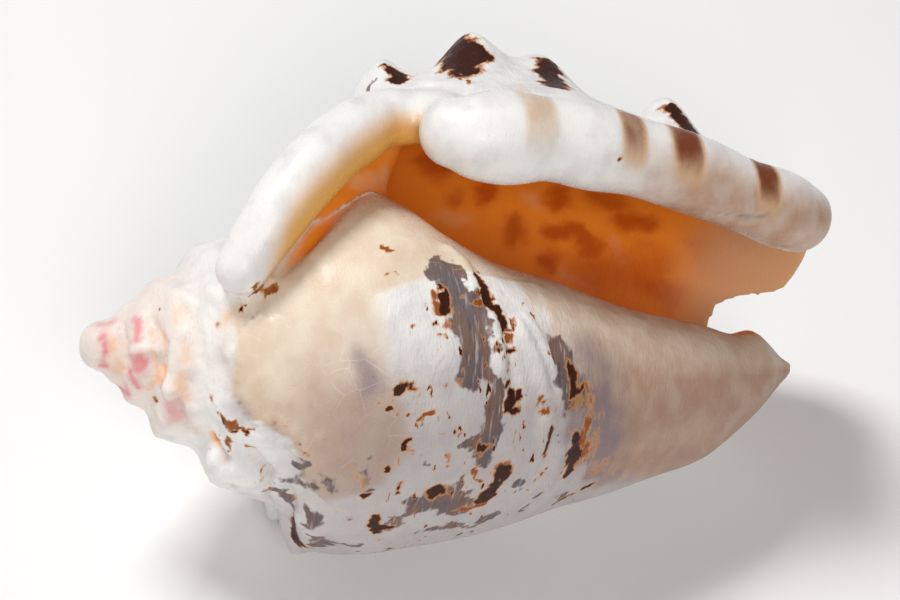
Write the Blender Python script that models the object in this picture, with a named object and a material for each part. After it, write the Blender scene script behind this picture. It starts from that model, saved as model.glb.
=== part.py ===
"""A spiral conch shell, grown as one piece and resting on its back with the aperture turned up.

The shell is laid out in its own growth frame, in millimetres. X runs along the coiling axis from
the apex to the front end. An angle phi goes round that axis: 0 is up, 90 is the aperture side (-Y),
180 is down and 270 is the back. A growth angle theta counts phi on through the turns: 180 is the
underside of the last whorl and the outer lip stands near 390. The finished solid is then turned so
that it stands on three points of its knobbed back, in metres, +Z up.
"""
import math

import bmesh
import bpy
import numpy as np
from mathutils import Matrix, Vector

MM = 0.001

# Growth of the spire
TIP_X = -0.4                # apex end of the first, rounded whorl
RADIUS_PER_TURN = 1.57      # each turn is this much wider than the one before
LENGTH_PER_TURN = 1.70      # and starts this much farther along the axis
SHOULDER_X = 21.2           # foot of the last shoulder, on the underside
SHOULDER_R = 20.6           # radius of that shoulder
RAMP_SLOPE = 1.6            # steepness of the last shoulder's ramp
SPIRE_RAMP_SLOPE = 1.9      # steepness of the ramps of the spire
SIDE_SLOPE = 0.33           # flare of a whorl's side towards the next suture
RAMP_TOP = 1.15             # where the ramp meets the side, in shoulder distances
KNOBS_PER_TURN = 11
SHOULDER_KNOB = 0.12        # height of the last shoulder's knobs, in shoulder radii
BACK_SHOULDER_KNOB = 0.15   # and how much taller they stand on the back
FIRST_KNOB = 186.0          # growth angle of one shoulder knob
KNOB_POINT = 2.2            # how pointed the shoulder knobs are
KNOBS_SHOWN = (120, 165, 300, 325)  # growth angles between which the last shoulder shows its knobs
BACK_STARTS = (185, 240)    # growth angles over which they grow taller
WHORL_BLEND = 0.7           # rounding of the sutures
TURNS = 7

# The first whorl is a rounded cap: centre, half length and radius
CAP = (1.7, 2.1, 2.55)

# Outline of the last turn and of the pillar inside it: growth angle, then (x, radius) points
OUTLINES = {
    -180: [(14, 12.6), (20, 13.2), (27, 12.0), (35, 8.5), (45, 5.5), (60, 3.8), (79, 1.0), (90, 0.4)],
    -90: [(14, 13.4), (20, 14.3), (26, 13.8), (34, 10.2), (45, 6.3), (60, 4.2), (79, 1.0), (90, 0.4)],
    0: [(16, 14.6), (22, 16.3), (27.3, 17.0), (30.4, 16.0), (35.3, 12.6), (41.9, 9.2), (48.6, 7.8),
        (55.6, 5.8), (67.9, 3.9), (70.8, 3.2), (73.4, 3.9), (75.6, 2.7), (79, 0.7), (90, 0.4)],
    90: [(16, 15.0), (22, 17.4), (27, 18.7), (32, 18.9), (38, 17.8), (45, 15.6), (52, 13.0),
         (60, 10.2), (68, 7.4), (74, 5.0), (79, 0.9), (90, 0.4)],
    180: [(20, 18.6), (24, 19.6), (29, 20.8), (34.5, 20.1), (40, 19.2), (45.6, 17.8), (51.3, 15.9),
          (57.2, 14.3), (63, 12.3), (68, 10.6), (71.6, 8.0), (75.2, 4.6), (78.2, 1.6), (79, 0.8),
          (90, 0.4)],
    225: [(20, 20.4), (24, 21.0), (30, 21.6), (38, 21.0), (46, 19.5), (54, 17.3), (62, 14.8),
          (70, 11.2), (75, 6.0), (79, 2.0), (90, 0.6)],
    270: [(20, 21.5), (25, 22.6), (31, 23.6), (40, 23.6), (48, 22.8), (56, 21.2), (64, 19.3),
          (72, 17.4), (77, 16.0), (86, 13.0), (90, 11)],
    330: [(24, 24.0), (29, 25.5), (35, 27.3), (43, 28.0), (50, 27.3), (58, 25.2), (67, 22.4),
          (75, 19.8), (86, 15.5), (90, 13)],
    360: [(24, 25), (30, 26.5), (35, 28.3), (43, 29.3), (50, 28.0), (57, 25.4), (67, 22.8),
          (75, 20.4), (82, 18.2), (90, 15)],
    390: [(24, 25), (30, 26.5), (36, 29.2), (46, 29.6), (53, 28.6), (60, 27.2), (67, 24.6),
          (75, 21.8), (82, 18.0), (90, 13)],
    450: [(24, 25), (30, 26.5), (36, 29.2), (46, 29.6), (53, 28.6), (60, 27.2), (67, 24.6),
          (75, 21.8), (82, 18.0), (90, 13)],
}
OUTLINE_X_STEP = 0.5
OUTLINE_TURN_STEP = 5.0

# Edge of the outer lip: x, phi. It runs up the spire as a finger, dips back and swings forward
LIP_EDGE = [(0, 62), (12.7, 60), (15.5, 47), (19.4, 37), (24.6, 25), (29.8, 15), (33.5, 9),
            (36, 16), (38.5, 28), (46, 30.5), (52, 31), (100, 31)]
LIP_PHI = 31.0
# Front margin of the wall: growth angle, x. The step near 300 is the notch of the lip
MARGIN = [(-360, 79), (60, 79), (180, 79), (235, 79), (265, 77), (281, 76.0), (294, 76.6),
          (301, 79.5), (307, 83.4), (315, 84.6), (328, 84.8), (345, 84), (365, 82.4),
          (380, 78.6), (392, 76.3), (450, 75)]
COLUMELLA_END = 79.0

# Straight back of the finger: x and radius at its tip, and its rise per millimetre
FINGER_BACK = (13.0, 15.2, 0.80)
FINGER_RISES = (-26, -5)    # degrees behind the lip's edge over which it rises from the spire
FINGER_END = (0.6, 2.5)     # how far past its tip it reaches, and how steeply it ends
# Callus over the spire: x where it starts, radius there, first and second slope
CALLUS = (9.8, 8.6, 1.3, 0.62)
CALLUS_STEP = 1.7           # how much higher the second slope starts
CALLUS_BLEND = 1.5          # rounding between its slopes
CALLUS_COVER = (20, 45, 118, 150)   # growth angles over which it rises and runs out

# Knobs on the back, in spiral rows: x, height, length, width in degrees, angle of the tallest
KNOB_DOME = 0.9             # how domed the knobs on the back are
BACK_KNOBS = [(29.0, 7.0, 4.2, 10.5, 352), (40.4, 5.4, 3.7, 10.0, 357), (48.6, 4.4, 3.9, 10.0, 357),
              (64.2, 6.0, 3.8, 10.5, 354)]
# Lone knob low on the back: x, height, length, width in degrees, angle
LONE_KNOB = (54.0, 2.8, 4.6, 13.0, 225)
KNOB_SPACING = 31.0
KNOBS_IN_ROW = 4
KNOB_FADE = 0.72

# Rolled edge of the lip: x, y, z of its centre line and its radius
FINGER_ROLL = [(12.6, -12.5, 8.2, 2.6), (15.1, -13.2, 12.6, 3.1), (18.7, -12.4, 17.4, 3.4),
               (23.8, -9.8, 21.7, 3.4), (28.6, -7.8, 24.1, 3.0), (34.5, -8.2, 24.6, 2.6)]
LIP_ROLL = [(33.6, -13.6, 22.6, 3.6), (35.5, -14.2, 22.4, 4.4), (38.7, -14.3, 22.4, 4.8),
            (43.6, -13.8, 22.6, 4.3), (48.6, -13.6, 22.1, 4.5), (53.5, -13.5, 21.4, 4.1),
            (59.3, -13.0, 20.2, 4.2), (66.4, -12.0, 18.2, 3.9), (71.0, -10.8, 17.2, 4.2),
            (74.0, -9.6, 16.4, 3.9)]
# Groove between the finger and the callus, running up into the hollow
CANAL = [(14.9, -13.0, 6.4, 0.5), (17.0, -12.0, 8.9, 1.1), (20.0, -10.8, 12.1, 1.4),
         (23.1, -8.6, 15.5, 1.6), (26.2, -6.5, 18.2, 1.9), (30.0, -5.0, 20.6, 2.9),
         (34.0, -4.2, 20.8, 4.1), (38.0, -3.0, 19.6, 4.8), (44.0, -3.0, 18.4, 5.4)]

# Walls of the hollow
WALL = 2.0                  # thickness of the shell wall
SINUS_WALL = 2.4            # extra thickness beside the finger
LIP_SWELL = 2.1             # and of the lip behind its roll
SKIN_SHARE = 0.8            # share of the wall that is taken off square to the surface
NARROWEST = 0.6             # the hollow starts where it is this high
HOLLOW_NOSE = (0.7, 0.8)    # how much its start is pinched, and over which length
HOLLOW_START = 215.0        # growth angle where the hollow ends inside the shell
PAST_LIP = 26.0             # the cut runs this far past the lip's edge
HOLLOW_END_X = 98.0

# Fineness of the faceted solid
BODY_ROWS, BODY_COLUMNS = 110, 160
HOLLOW_ROWS, HOLLOW_COLUMNS = 80, 70
ROLL_RINGS, ROLL_SIDES, ROLL_END_RINGS = 30, 18, 5
ROW_GATHER = 1.15           # gathers the rows towards the apex
TURN_SHARE = 0.998          # the body stops just short of a full turn
EDGE_BLEND = 1.6            # rounding between the shoulder's ramp and the side
VOXEL = 0.8
FACES_KEPT = 0.105

# The side that faces down at rest, in the growth frame, and how far a standing face may lean off it
REST_DOWN = Vector((0.14, 0.69, -0.71))
REST_CONE = math.radians(12)

SHELL_COLOUR = (0.80, 0.72, 0.62, 1.0)


def smooth_curve(points, where):
    """Monotone cubic curve through the points, read at the given places."""
    data = np.asarray(points, float)
    x, y = data[:, 0], data[:, 1]
    step = np.diff(x)
    slope = np.diff(y) / step
    tangent = np.zeros_like(y)
    tangent[0], tangent[-1] = slope[0], slope[-1]
    for i in range(1, len(x) - 1):
        if slope[i - 1] * slope[i] > 0:
            w1 = 2 * step[i] + step[i - 1]
            w2 = step[i] + 2 * step[i - 1]
            tangent[i] = (w1 + w2) / (w1 / slope[i - 1] + w2 / slope[i])
    where = np.clip(np.asarray(where, float), x[0], x[-1])
    k = np.clip(np.searchsorted(x, where, side="right") - 1, 0, len(x) - 2)
    s = (where - x[k]) / step[k]
    start = (1 + 2 * s) * (1 - s) ** 2 * y[k] + s * (1 - s) ** 2 * step[k] * tangent[k]
    finish = s * s * (3 - 2 * s) * y[k + 1] + s * s * (s - 1) * step[k] * tangent[k + 1]
    return start + finish


def soft_min(a, b, blend):
    """The smaller of two values, rounded where they cross."""
    h = np.clip(0.5 + 0.5 * (b - a) / blend, 0, 1)
    return b * (1 - h) + a * h - blend * h * (1 - h)


def soft_max(a, b, blend):
    """The larger of two values, rounded where they cross."""
    return -soft_min(-a, -b, blend)


def smooth_step(low, high, value):
    """0 below low, 1 above high, eased between."""
    t = np.clip((value - low) / (high - low), 0, 1)
    return t * t * (3 - 2 * t)


def outline_table():
    """The outlines read on an even grid of growth angles and x."""
    stations = sorted(OUTLINES)
    xs = np.arange(0, 95 + OUTLINE_X_STEP, OUTLINE_X_STEP)
    angles = np.arange(stations[0], stations[-1] + 1, OUTLINE_TURN_STEP)
    rows = np.array([smooth_curve(OUTLINES[s], xs) for s in stations])
    table = np.empty((len(angles), len(xs)))
    for column in range(len(xs)):
        table[:, column] = smooth_curve(list(zip(stations, rows[:, column])), angles)
    return table


OUTLINE_TABLE = outline_table()


def outline(x, theta):
    """Radius of the last turn beyond its shoulder."""
    rows, columns = OUTLINE_TABLE.shape
    u = np.clip((theta - min(OUTLINES)) / OUTLINE_TURN_STEP, 0, rows - 1.001)
    v = np.clip(x / OUTLINE_X_STEP, 0, columns - 1.001)
    i, j = u.astype(int), v.astype(int)
    fu, fv = u - i, v - j
    near = OUTLINE_TABLE[i, j] * (1 - fu) + OUTLINE_TABLE[i + 1, j] * fu
    far = OUTLINE_TABLE[i, j + 1] * (1 - fu) + OUTLINE_TABLE[i + 1, j + 1] * fu
    return near * (1 - fv) + far * fv


def shoulder(theta):
    """Foot of the shoulder along the axis, and the shoulder's radius, at a growth angle."""
    turns = (theta - 180) / 360.0
    return SHOULDER_X * LENGTH_PER_TURN ** turns, SHOULDER_R * RADIUS_PER_TURN ** turns


def knob_wave(theta):
    """0 to 1, once up and down for each shoulder knob."""
    return (0.5 + 0.5 * np.cos(np.radians(theta - FIRST_KNOB) * KNOBS_PER_TURN)) ** KNOB_POINT


def spire_whorl(x, theta):
    """Radius of a whorl of the spire, with its knobs."""
    foot, width = shoulder(theta)
    xi = x / foot
    below = -np.cos(np.radians(theta))
    ramp = 1 - SPIRE_RAMP_SLOPE * (1.12 - 0.03 * below - xi)
    side = 1 + SIDE_SLOPE * (xi - RAMP_TOP)
    r = soft_min(ramp, side, 0.10)
    r = np.where(xi > 1.9, r - 0.8 * (xi - 1.9), r)
    size = (0.62 + 0.38 * below) * (0.5 + 0.5 * smooth_step(4, 13, x))
    knob = 0.17 * np.exp(-((xi - 1.045) / 0.08) ** 2) + 0.06 * np.exp(-((xi - 1.25) / 0.2) ** 2)
    return width * (r * (1.02 + 0.03 * below) + knob * knob_wave(theta) * size)


def back_knobs(x, theta):
    """Height of the rows of knobs on the back."""
    height = np.zeros_like(x)
    for centre, tall, length, width, first in BACK_KNOBS:
        for n in range(KNOBS_IN_ROW):
            far = ((x - centre) / length) ** 2 + ((theta - first + KNOB_SPACING * n) / width) ** 2
            height = height + tall * KNOB_FADE ** n * np.exp(-far ** KNOB_DOME)
    centre, tall, length, width, angle = LONE_KNOB
    far = ((x - centre) / length) ** 2 + ((theta - angle) / width) ** 2
    return height + tall * np.exp(-far ** KNOB_DOME)


def last_whorl(x, theta, knobs=True):
    """Radius of the last turn up to the lip, and of the pillar under it."""
    foot, width = shoulder(theta)
    xi = x / foot
    ramp = width * (1 - RAMP_SLOPE * (RAMP_TOP - xi))
    tip_x, tip_r, rise = FINGER_BACK
    reach, steep_end = FINGER_END
    finger = tip_r + rise * (x - tip_x) - steep_end * np.maximum(tip_x - reach - x, 0)
    behind_lip = theta - (smooth_curve(LIP_EDGE, x) + 360)
    ramp = ramp + (np.maximum(finger, ramp) - ramp) * smooth_step(*FINGER_RISES, behind_lip)
    start_x, start_r, steep, gentle = CALLUS
    callus = soft_min(start_r + steep * (x - start_x),
                      start_r + CALLUS_STEP + gentle * (x - start_x), CALLUS_BLEND)
    cover = smooth_step(*CALLUS_COVER[:2], theta) * (1 - smooth_step(*CALLUS_COVER[2:], theta))
    ramp = ramp + (np.maximum(callus, ramp) - ramp) * cover
    r = soft_min(ramp, outline(x, theta), EDGE_BLEND)
    if knobs:
        shown = smooth_step(*KNOBS_SHOWN[:2], theta) * (1 - smooth_step(*KNOBS_SHOWN[2:], theta))
        tall = SHOULDER_KNOB + BACK_SHOULDER_KNOB * smooth_step(*BACK_STARTS, theta)
        knob = tall * np.exp(-((xi - 1.07) / 0.07) ** 2) + 0.03 * np.exp(-((xi - 1.2) / 0.13) ** 2)
        r = r + back_knobs(x, theta) + width * knob * knob_wave(theta) * shown
    return r


def radius(x, theta):
    """Outer surface: the whorl at this growth angle laid over all the whorls before it."""
    x, theta = np.broadcast_arrays(np.asarray(x, float), np.asarray(theta, float))
    r = np.zeros(x.shape)
    for turn in range(TURNS):
        angle = theta - 360 * turn
        last = last_whorl(x, np.maximum(angle, -180))
        whorl = np.where(angle > -180, last, spire_whorl(x, angle))
        r = whorl if turn == 0 else soft_max(r, whorl, WHORL_BLEND * np.clip(x / 20, 0.25, 1))
    centre, half, tall = CAP
    cap = tall * np.sqrt(np.clip(1 - ((x - centre) / half) ** 2, 0, 1))
    r = np.where(x < centre, cap, soft_max(r, cap, 0.4))
    return np.maximum(r, 0.02)


def inner_radius(x, theta):
    """Inside of the wall of the last turn."""
    near_lip = smooth_step(300, 360, theta)
    wall = WALL + SINUS_WALL * near_lip * (1 - smooth_step(26, 44, x))
    here = last_whorl(x, theta, knobs=False)
    before = last_whorl(np.maximum(x - wall, 0), theta, knobs=False)
    after = last_whorl(x + wall, theta, knobs=False)
    swell = LIP_SWELL * smooth_step(362, 390, theta) * smooth_step(31, 36, x)
    return np.minimum(np.minimum(here, before), after) - SKIN_SHARE * wall - swell


def place(x, phi, r):
    """Points of the growth frame from x, angle and radius."""
    a = np.radians(phi)
    return np.stack([x + 0 * r, -r * np.sin(a), r * np.cos(a)], axis=-1)


def new_object(name, points, faces):
    """Mesh object with its faces turned outwards, in metres."""
    mesh = bpy.data.meshes.new(name)
    mesh.from_pydata([tuple(MM * c for c in p) for p in points], [], faces)
    work = bmesh.new()
    work.from_mesh(mesh)
    bmesh.ops.recalc_face_normals(work, faces=work.faces)
    work.to_mesh(mesh)
    work.free()
    obj = bpy.data.objects.new(name, mesh)
    bpy.context.collection.objects.link(obj)
    return obj


def body():
    """Closed solid inside the outer surface, from the lip's foot once round to its edge."""
    s, c = np.meshgrid(np.linspace(0, 1, BODY_ROWS) ** ROW_GATHER,
                       np.linspace(0, TURN_SHARE, BODY_COLUMNS), indexing="ij")
    end = smooth_curve(MARGIN, LIP_PHI + 360 * c)
    x = TIP_X + s * (end - TIP_X)
    theta = smooth_curve(LIP_EDGE, x) + 360 * c
    skin = place(x, theta, radius(x, theta)).reshape(-1, 3)
    points = [(TIP_X - 0.03, 0, 0), *skin, (COLUMELLA_END, 0, 0)]
    end_point = len(points) - 1
    faces = []
    for j in range(BODY_COLUMNS):
        k = (j + 1) % BODY_COLUMNS
        faces.append((0, 1 + k, 1 + j))
        last = 1 + (BODY_ROWS - 1) * BODY_COLUMNS
        faces.append((end_point, last + j, last + k))
        for i in range(BODY_ROWS - 1):
            a, b = 1 + i * BODY_COLUMNS, 1 + (i + 1) * BODY_COLUMNS
            faces.append((a + j, a + k, b + k, b + j))
    return new_object("shell", points, faces)


def hollow_column(x, share):
    """Growth angle, outer and inner radius of the hollow along one column."""
    lip = smooth_curve(LIP_EDGE, x) + 360
    theta = HOLLOW_START + (lip + PAST_LIP - HOLLOW_START) * share
    outer = inner_radius(x, np.minimum(theta, lip))
    inner = radius(x, theta - 360) + 0.05
    return theta, outer, inner


def hollow():
    """Closed solid of the space under the last turn, open at the aperture and the front end."""
    scan = np.arange(8.0, 53.0, 0.25)
    outer_skin = np.zeros((HOLLOW_ROWS, HOLLOW_COLUMNS, 3))
    inner_skin = np.zeros_like(outer_skin)
    for j, share in enumerate(np.linspace(0, 1, HOLLOW_COLUMNS)):
        theta, outer, inner = hollow_column(scan, share)
        closed = np.where(outer - inner < NARROWEST)[0]
        first = scan[min(closed[-1] + 1, len(scan) - 1)] if len(closed) else scan[0]
        x = first + (HOLLOW_END_X - first) * np.linspace(0, 1, HOLLOW_ROWS) ** 1.2
        theta, outer, inner = hollow_column(x, share)
        narrow = HOLLOW_NOSE[0] * (1 - smooth_step(0, HOLLOW_NOSE[1], x - first))
        middle = 0.5 * (outer + inner)
        inner = inner + (middle - inner) * narrow
        outer = np.maximum(outer + (middle - outer) * narrow, inner + 0.15)
        outer_skin[:, j] = place(x, theta, outer)
        inner_skin[:, j] = place(x, theta, inner)
    points = np.vstack([outer_skin.reshape(-1, 3), inner_skin.reshape(-1, 3)])
    below = HOLLOW_ROWS * HOLLOW_COLUMNS
    faces = []
    for i in range(HOLLOW_ROWS - 1):
        for j in range(HOLLOW_COLUMNS - 1):
            a = i * HOLLOW_COLUMNS + j
            b = a + HOLLOW_COLUMNS
            faces.append((a, a + 1, b + 1, b))
            faces.append((below + a, below + b, below + b + 1, below + a + 1))
    for i in range(HOLLOW_ROWS - 1):
        for a in (i * HOLLOW_COLUMNS, (i + 1) * HOLLOW_COLUMNS - 1):
            b = a + HOLLOW_COLUMNS
            faces.append((a, b, below + b, below + a))
    for j in range(HOLLOW_COLUMNS - 1):
        for a in (j, (HOLLOW_ROWS - 1) * HOLLOW_COLUMNS + j):
            faces.append((a, below + a, below + a + 1, a + 1))
    return new_object("hollow", points, faces)


def roll(name, line):
    """Round-ended roll along a line of centres and radii."""
    data = np.asarray(line, float)
    run = np.r_[0, np.cumsum(np.linalg.norm(np.diff(data[:, :3], axis=0), axis=1))]
    at = np.linspace(0, run[-1], ROLL_RINGS)
    rings = np.stack([smooth_curve(list(zip(run, data[:, k])), at) for k in range(4)], axis=1)
    centre, size = rings[:, :3], rings[:, 3]
    tangent = np.gradient(centre, axis=0)
    tangent /= np.linalg.norm(tangent, axis=1)[:, None]
    stations = [(centre[i], tangent[i], size[i]) for i in range(1, ROLL_RINGS - 1)]
    bends = [math.pi / 2 * e / ROLL_END_RINGS for e in range(1, ROLL_END_RINGS + 1)]
    start = [(centre[0] - tangent[0] * size[0] * math.cos(a), tangent[0], size[0] * math.sin(a))
             for a in bends]
    finish = [(centre[-1] + tangent[-1] * size[-1] * math.cos(a), tangent[-1],
               size[-1] * math.sin(a)) for a in reversed(bends)]
    stations = start + stations + finish
    points = [centre[0] - tangent[0] * size[0]]
    for middle, along, r in stations:
        out = np.array([0, middle[1], middle[2]])
        out = out - along * out.dot(along)
        out /= np.linalg.norm(out)
        side = np.cross(along, out)
        for k in range(ROLL_SIDES):
            a = 2 * math.pi * k / ROLL_SIDES
            points.append(middle + r * (out * math.cos(a) + side * math.sin(a)))
    points.append(centre[-1] + tangent[-1] * size[-1])
    end_point = len(points) - 1
    last = 1 + (len(stations) - 1) * ROLL_SIDES
    faces = []
    for j in range(ROLL_SIDES):
        k = (j + 1) % ROLL_SIDES
        faces.append((0, 1 + k, 1 + j))
        faces.append((end_point, last + j, last + k))
        for i in range(len(stations) - 1):
            a, b = 1 + i * ROLL_SIDES, 1 + (i + 1) * ROLL_SIDES
            faces.append((a + j, a + k, b + k, b + j))
    return new_object(name, points, faces)


def hide_helper(obj):
    """Keep a helper out of the finished model."""
    obj.hide_render = True
    obj.display_type = "WIRE"


def combine(shell, helper, operation):
    """Cut the helper from the shell, or grow it on."""
    step = shell.modifiers.new(helper.name, "BOOLEAN")
    step.operation = operation
    step.solver = "EXACT"
    step.object = helper
    hide_helper(helper)


def melt(shell):
    """Melt the pieces into one skin, soften it and thin out its facets."""
    remesh = shell.modifiers.new("one_skin", "REMESH")
    remesh.mode = "VOXEL"
    remesh.voxel_size = VOXEL * MM
    remesh.use_smooth_shade = True
    soften = shell.modifiers.new("soften", "SMOOTH")
    soften.factor = 0.5
    soften.iterations = 4
    thin = shell.modifiers.new("thin_out", "DECIMATE")
    thin.decimate_type = "COLLAPSE"
    thin.ratio = FACES_KEPT


def finished_points(shell):
    """Corner points of the finished solid and its centre of mass, in the growth frame."""
    depsgraph = bpy.context.evaluated_depsgraph_get()
    evaluated = shell.evaluated_get(depsgraph)
    mesh = evaluated.to_mesh()
    mesh.calc_loop_triangles()
    points = [v.co.copy() for v in mesh.vertices]
    volume, moment = 0.0, Vector()
    for triangle in mesh.loop_triangles:
        a, b, c = [points[k] for k in triangle.vertices]
        share = a.dot(b.cross(c))
        volume += share
        moment += share * (a + b + c) / 4
    evaluated.to_mesh_clear()
    return points, moment / volume


def floor_normal(points, balance):
    """Outward normal of the hull face nearest the centre of mass: the face that it settles on."""
    hull = bmesh.new()
    for p in points:
        hull.verts.new(p)
    bmesh.ops.convex_hull(hull, input=hull.verts)
    hull.normal_update()
    heights = []
    for face in hull.faces:
        reach = face.normal.dot(face.verts[0].co - balance)
        normal = face.normal.copy() if reach > 0 else -face.normal
        if normal.angle(REST_DOWN) < REST_CONE:
            heights.append((abs(reach), tuple(normal)))
    hull.free()
    return Vector(min(heights)[1])


def rest_matrix(points, balance):
    """Turn the standing face to the floor, the length along X, the footprint round the origin."""
    up = -floor_normal(points, balance)
    along = Vector((1, 0, 0))
    along = (along - up * along.dot(up)).normalized()
    across = up.cross(along)
    turn = Matrix((along, across, up))
    turned = [turn @ p for p in points]
    low = Vector([min(p[k] for p in turned) for k in range(3)])
    high = Vector([max(p[k] for p in turned) for k in range(3)])
    shift = -Vector(((low.x + high.x) / 2, (low.y + high.y) / 2, low.z))
    return Matrix.Translation(shift) @ turn.to_4x4()


def shell_material():
    """Warm white, glazed shell."""
    material = bpy.data.materials.new("shell")
    material.use_nodes = True
    surface = material.node_tree.nodes["Principled BSDF"]
    surface.inputs["Base Color"].default_value = SHELL_COLOUR
    surface.inputs["Roughness"].default_value = 0.35
    surface.inputs["Metallic"].default_value = 0.0
    return material


def main():
    for obj in list(bpy.data.objects):
        bpy.data.objects.remove(obj)
    shell = body()
    helpers = [roll("canal", CANAL), hollow(), roll("finger_roll", FINGER_ROLL),
               roll("lip_roll", LIP_ROLL)]
    for helper, operation in zip(helpers, ("DIFFERENCE", "DIFFERENCE", "UNION", "UNION")):
        combine(shell, helper, operation)
    melt(shell)
    shell.data.materials.append(shell_material())
    rest = rest_matrix(*finished_points(shell))
    for obj in (shell, *helpers):
        obj.matrix_world = rest


main()
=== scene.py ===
"""A spiral conch shell, lying on its knobbed back, modelled finely and dressed over its frame.

The shell is laid out in a growth frame, in millimetres: X runs along the coiling axis from the apex
to the front end, and phi goes round that axis, with 0 up, 90 on the aperture side (-Y) and 180 down.
A growth angle theta counts phi on through the turns, and the outer lip stands near 390.
"""
import logging
import math
from dataclasses import dataclass, field
from enum import Enum
from typing import Callable, Dict, List, Sequence, Tuple

import bpy
import numpy as np
from mathutils import Matrix, Vector


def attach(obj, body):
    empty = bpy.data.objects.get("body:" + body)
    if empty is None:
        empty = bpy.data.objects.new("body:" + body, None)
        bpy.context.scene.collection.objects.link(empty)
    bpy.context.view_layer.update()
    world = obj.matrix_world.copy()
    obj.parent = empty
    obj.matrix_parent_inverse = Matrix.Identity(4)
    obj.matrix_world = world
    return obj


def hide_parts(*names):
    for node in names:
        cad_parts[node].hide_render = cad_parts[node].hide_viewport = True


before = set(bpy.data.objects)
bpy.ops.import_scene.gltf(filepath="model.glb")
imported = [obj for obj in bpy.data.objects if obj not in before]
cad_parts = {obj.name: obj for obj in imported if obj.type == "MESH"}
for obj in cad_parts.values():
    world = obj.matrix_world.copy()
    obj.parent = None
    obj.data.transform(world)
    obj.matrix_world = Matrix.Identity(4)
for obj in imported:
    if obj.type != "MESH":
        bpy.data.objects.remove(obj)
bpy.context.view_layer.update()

logging.basicConfig(level=logging.INFO, format="%(message)s")
LOG = logging.getLogger("shell")

MM = 0.001
Array = np.ndarray
Points = Sequence[Sequence[float]]
Law = Callable[[Array, Array], Array]
Colour = Tuple[float, float, float]
Marks = Tuple[Tuple[object, ...], ...]

# the outer surface at the lip: places along the axis and radii, in millimetres
LIP_OUTLINE = ((24, 25), (30, 26.5), (36, 29.2), (46, 29.6), (53, 28.6), (60, 27.2), (67, 24.6),
               (75, 21.8), (82, 18.0), (90, 13))


def smooth_curve(points: Points, where: Array) -> Array:
    """Monotone cubic curve through the points.

    Args:
        points: Pairs of place and value, in rising order of place.
        where: Places to read the curve at.

    Returns:
        The curve's values at those places.
    """
    data = np.asarray(points, float)
    x, y = data[:, 0], data[:, 1]
    step = np.diff(x)
    slope = np.diff(y) / step
    tangent = np.zeros_like(y)
    tangent[0], tangent[-1] = slope[0], slope[-1]
    for i in range(1, len(x) - 1):
        if slope[i - 1] * slope[i] > 0:
            w1 = 2 * step[i] + step[i - 1]
            w2 = step[i] + 2 * step[i - 1]
            tangent[i] = (w1 + w2) / (w1 / slope[i - 1] + w2 / slope[i])
    where = np.clip(np.asarray(where, float), x[0], x[-1])
    k = np.clip(np.searchsorted(x, where, side="right") - 1, 0, len(x) - 2)
    s = (where - x[k]) / step[k]
    start = (1 + 2 * s) * (1 - s) ** 2 * y[k] + s * (1 - s) ** 2 * step[k] * tangent[k]
    finish = s * s * (3 - 2 * s) * y[k + 1] + s * s * (s - 1) * step[k] * tangent[k + 1]
    return start + finish


def soft_min(a: Array, b: Array, blend: float) -> Array:
    """The smaller of two values, rounded over blend where they cross."""
    h = np.clip(0.5 + 0.5 * (b - a) / blend, 0, 1)
    return b * (1 - h) + a * h - blend * h * (1 - h)


def soft_max(a: Array, b: Array, blend: Array) -> Array:
    """The larger of two values, rounded over blend where they cross."""
    return -soft_min(-a, -b, blend)


def smooth_step(low: float, high: float, value: Array) -> Array:
    """0 at low, 1 at high, eased between, also where low is the larger."""
    t = np.clip((value - low) / (high - low), 0, 1)
    return t * t * (3 - 2 * t)


def place(x: Array, phi: Array, r: Array) -> Array:
    """Points of the growth frame from x, the angle round the axis, and the radius."""
    a = np.radians(phi)
    return np.stack([x + 0 * r, -r * np.sin(a), r * np.cos(a)], axis=-1)


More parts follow.
